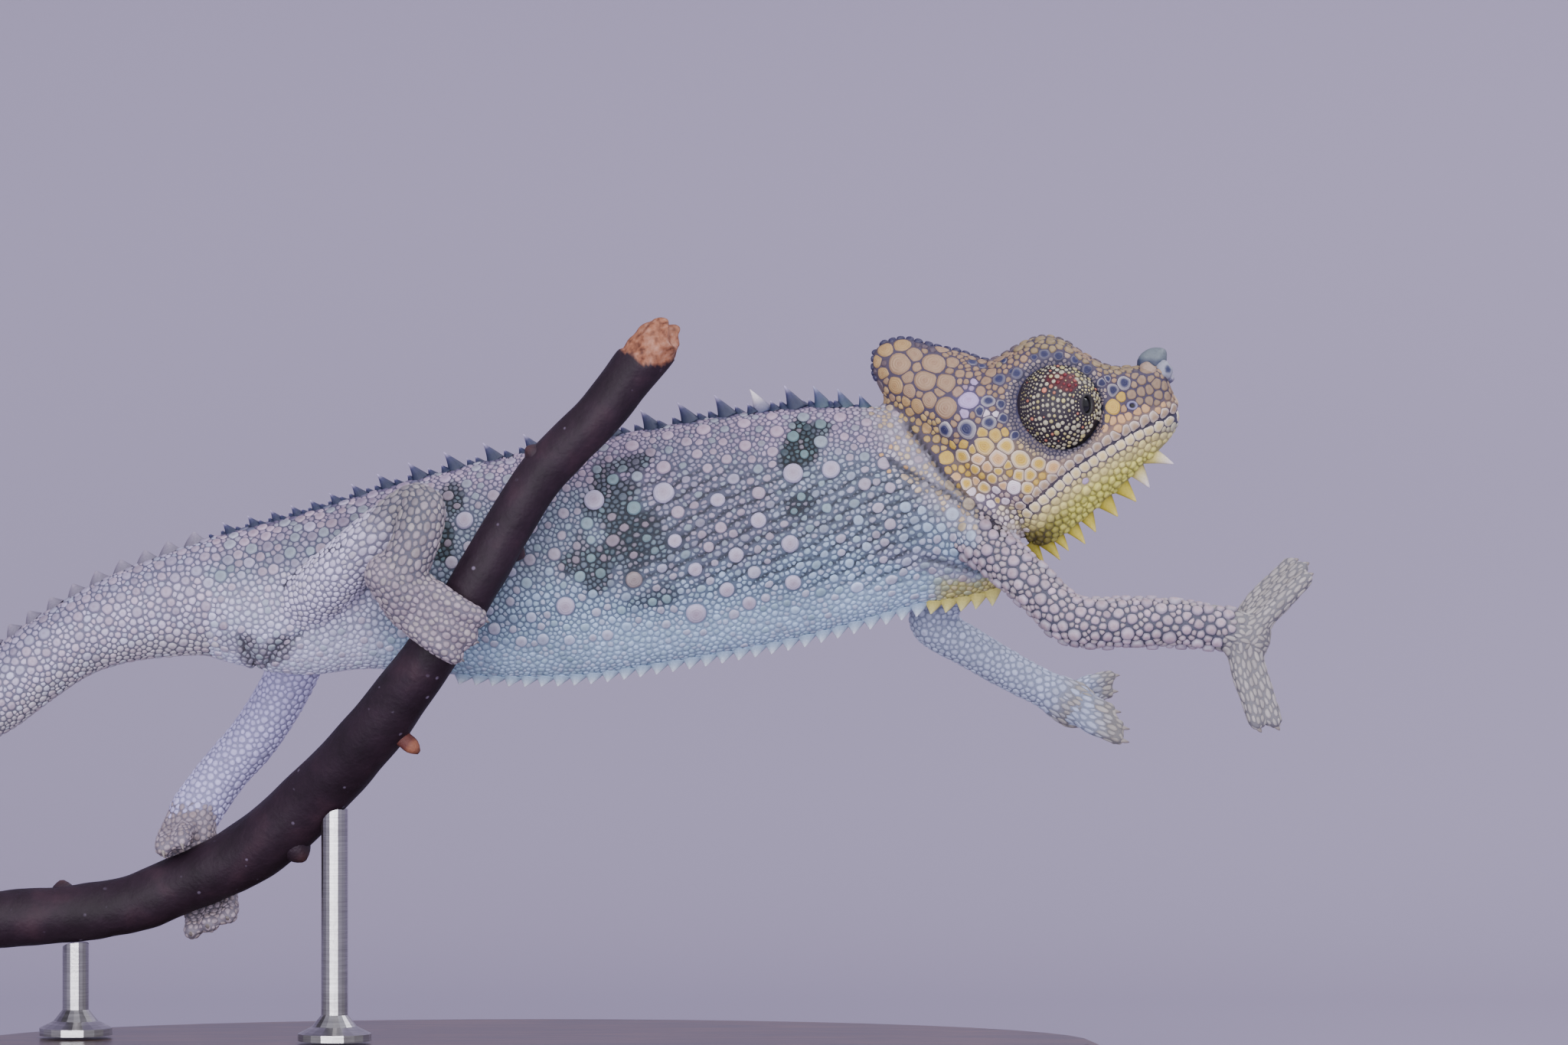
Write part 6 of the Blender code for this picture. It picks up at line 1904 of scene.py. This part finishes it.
both = addNode(tree, "Mix", {"data_type": "RGBA"}, {
    0: readValues(tree, "cut")["Fac"], 6: speckled.outputs[2], 7: wood})
addGrain(tree, shader, both.outputs[2], 900.0, 0.25, 0.8)
addPiece("branch", mesh, barkMaterial, "bark", "perch_branch")
twigMaterial = tintedMaterial("twigBark", 0.6, 0.3, 1800.0, 0.3, 0.9)


def branchAt(x):  # centre, direction and radius of the branch where its centre has this x
    rows = curveAt(branchLine, np.linspace(0, branchLine[-1, 0], 400))
    i = int(np.argmin(np.abs(rows[:, 0] - x)))
    i = min(max(i, 1), len(rows) - 2)
    return rows[i, :3], unit(rows[i + 1, :3] - rows[i - 1, :3]), rows[i, 3]


def stub(root, tip, size, shares, tints, around=16):
    lean = unit(tip - root)
    first = unit(np.cross(lean, sideWay))
    second = np.cross(lean, first)
    turns = turnsOf(around)
    corner = 1 + 0.06 * np.cos(turns * 3 + root[0]) + 0.04 * np.cos(turns * 5 + root[2])
    ring = (np.cos(turns) * corner)[:, None] * first + (np.sin(turns) * corner)[:, None] * second
    along = np.linspace(0, 1, len(shares))
    rows = [root + (tip - root) * f + ring * (size * share) for f, share in zip(along, shares)]
    return closedRows(rows, [paint(*tint) for tint in tints])


twigPlan = {
    "shares": (1.6, 1.5, 1.3, 1.05, 0.98, 1, 0.94, 0.7, 0.3),
    "tints": ((40, 26, 38),) * 3 + ((88, 46, 42),) * 3 + ((126, 78, 60),) * 2 + ((96, 56, 46),),
}
budPlan = {
    "shares": (1.15, 1.1, 1, 0.88, 0.72, 0.5, 0.2),
    "tints": ((40, 26, 38),) * 4 + ((46, 30, 40), (56, 36, 44), (66, 42, 46)),
    "size": 0.42, "sunk": 1,
}
x, lean, radius, length = branchShape["twig"]
centre, _, thick = branchAt(x)
lean = unit(lean)
twigs = [stub(centre + lean * thick * 0.5, centre + lean * (thick + length), radius,
              twigPlan["shares"], twigPlan["tints"])]
for x, turn, height in branchShape["buds"]:
    centre, axis, thick = branchAt(x)
    side, turn = unit(np.cross(axis, sideWay)), radians(turn)
    out = side * sin(turn) + np.cross(side, axis) * cos(turn)
    twigs.append(stub(centre + out * (thick - budPlan["sunk"]), centre + out * (thick + height),
                      budPlan["size"] * thick, budPlan["shares"], budPlan["tints"]))
joinThorns("twigs", twigs, "bark", twigMaterial)
print("branch made")


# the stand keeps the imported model's meshes

def streakedMaterial(label, roughness, settings, squeeze, scale, detail, stops, grain, **more):
    material, tree, shader = startMaterial(label, roughness, 0.5, settings)
    place = addNode(tree, "Mapping", inputs={"Vector": objectPlace(tree), "Scale": squeeze})
    colour = ramp(tree, noise(tree, place.outputs[0], scale, detail, **more), *stops)
    addGrain(tree, shader, colour, *grain)
    return material


woodMaterial = streakedMaterial(
    "standWood", 0.34, [("Coat Weight", 0.25), ("Coat Roughness", 0.2)], (0.16, 1.0, 1.0), 520.0, 8.0,
    ((0.3, (38, 24, 18)), (0.5, (64, 42, 30)), (0.72, (92, 62, 44))), (700.0, 0.15, 0.25), Distortion=0.6)
steelMaterial = streakedMaterial(
    "rodSteel", 0.3, [("Metallic", 1.0)], (1.0, 1.0, 30.0), 300.0, 3.0,
    ((0.3, (150, 148, 150)), (0.7, (186, 184, 186))), (1500.0, 0.05, 0.1))
for name, material in (("stand_base", woodMaterial), ("stand_rod_back", steelMaterial),
                       ("stand_rod_front", steelMaterial)):
    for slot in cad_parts[name].material_slots:
        slot.material = material


# floor, backdrop, light and camera

stagePlan = {  # in metres
    "width": 1.6, "front": -0.8, "wall": 0.32, "height": 0.9, "bend": 0.16,
}


def addStage():
    width, wall, bend = stagePlan["width"], stagePlan["wall"], stagePlan["bend"]
    curve = np.radians(np.arange(8, 91, 8))
    profile = [(stagePlan["front"], 0.0), (wall - bend, 0.0)]
    profile += [(wall - bend + bend * sin(a), bend - bend * cos(a)) for a in curve]
    profile.append((wall, stagePlan["height"]))
    mesh = bpy.data.meshes.new("backdrop")
    points = [(x, y, z) for y, z in profile for x in (-width, width)]
    faces = [(2 * k, 2 * k + 1, 2 * k + 3, 2 * k + 2) for k in range(len(profile) - 1)]
    mesh.from_pydata(points, [], faces)
    mesh.shade_smooth()
    material, tree, shader = startMaterial("backdrop", 0.9, 0.1)
    shader.inputs["Base Color"].default_value = (*paint(150, 142, 166), 1)
    facing = addNode(tree, "NewGeometry").outputs["Backfacing"]
    clear = addNode(tree, "BsdfTransparent").outputs[0]
    seen = addNode(tree, "MixShader", inputs={0: facing, 1: shader.outputs[0], 2: clear})
    tree.links.new(seen.outputs[0], tree.nodes["Material Output"].inputs["Surface"])  # clear from behind
    mesh.materials.append(material)
    linkNew("backdrop", mesh)


addStage()


def addLight(name, place, target, size, power, colour):
    data = bpy.data.lights.new(name, "AREA")
    data.shape = "RECTANGLE"
    data.size, data.size_y = size
    data.energy = power
    data.color = colour
    light = linkNew(name, data)
    light.location = place
    light.rotation_euler = (Vector(target) - Vector(place)).to_track_quat("-Z", "Y").to_euler()


for light in (  # name, place, target, size, power, colour
    ("keyLight", (0.1, -0.5, 0.45), (0.01, 0, 0.055), (0.5, 0.4), 3.0, (1.0, 0.98, 0.97)),
    ("frontLight", (-0.1, -0.6, 0.05), (0.0, 0, 0.05), (0.7, 0.1), 3.8, (0.96, 0.95, 1.0)),
    ("rimLight", (0.35, 0.15, 0.45), (0.02, 0, 0.06), (0.4, 0.3), 1.6, (0.95, 0.95, 1.0)),
):
    addLight(*light)
world = bpy.data.worlds.new("room")
world.use_nodes = True
glow = world.node_tree.nodes["Background"].inputs
glow["Color"].default_value = (0.66, 0.65, 0.76, 1)
glow["Strength"].default_value = 1.0
bpy.context.scene.world = world

lens = bpy.data.cameras.new("camera")
lens.sensor_width = 36.0
lens.lens = 158.2
camera = linkNew("camera", lens)
camera.location = (0.0248, -0.675, 0.0578)
camera.rotation_euler = (radians(90), 0, 0)
bpy.context.scene.camera = camera

print("scene finished")
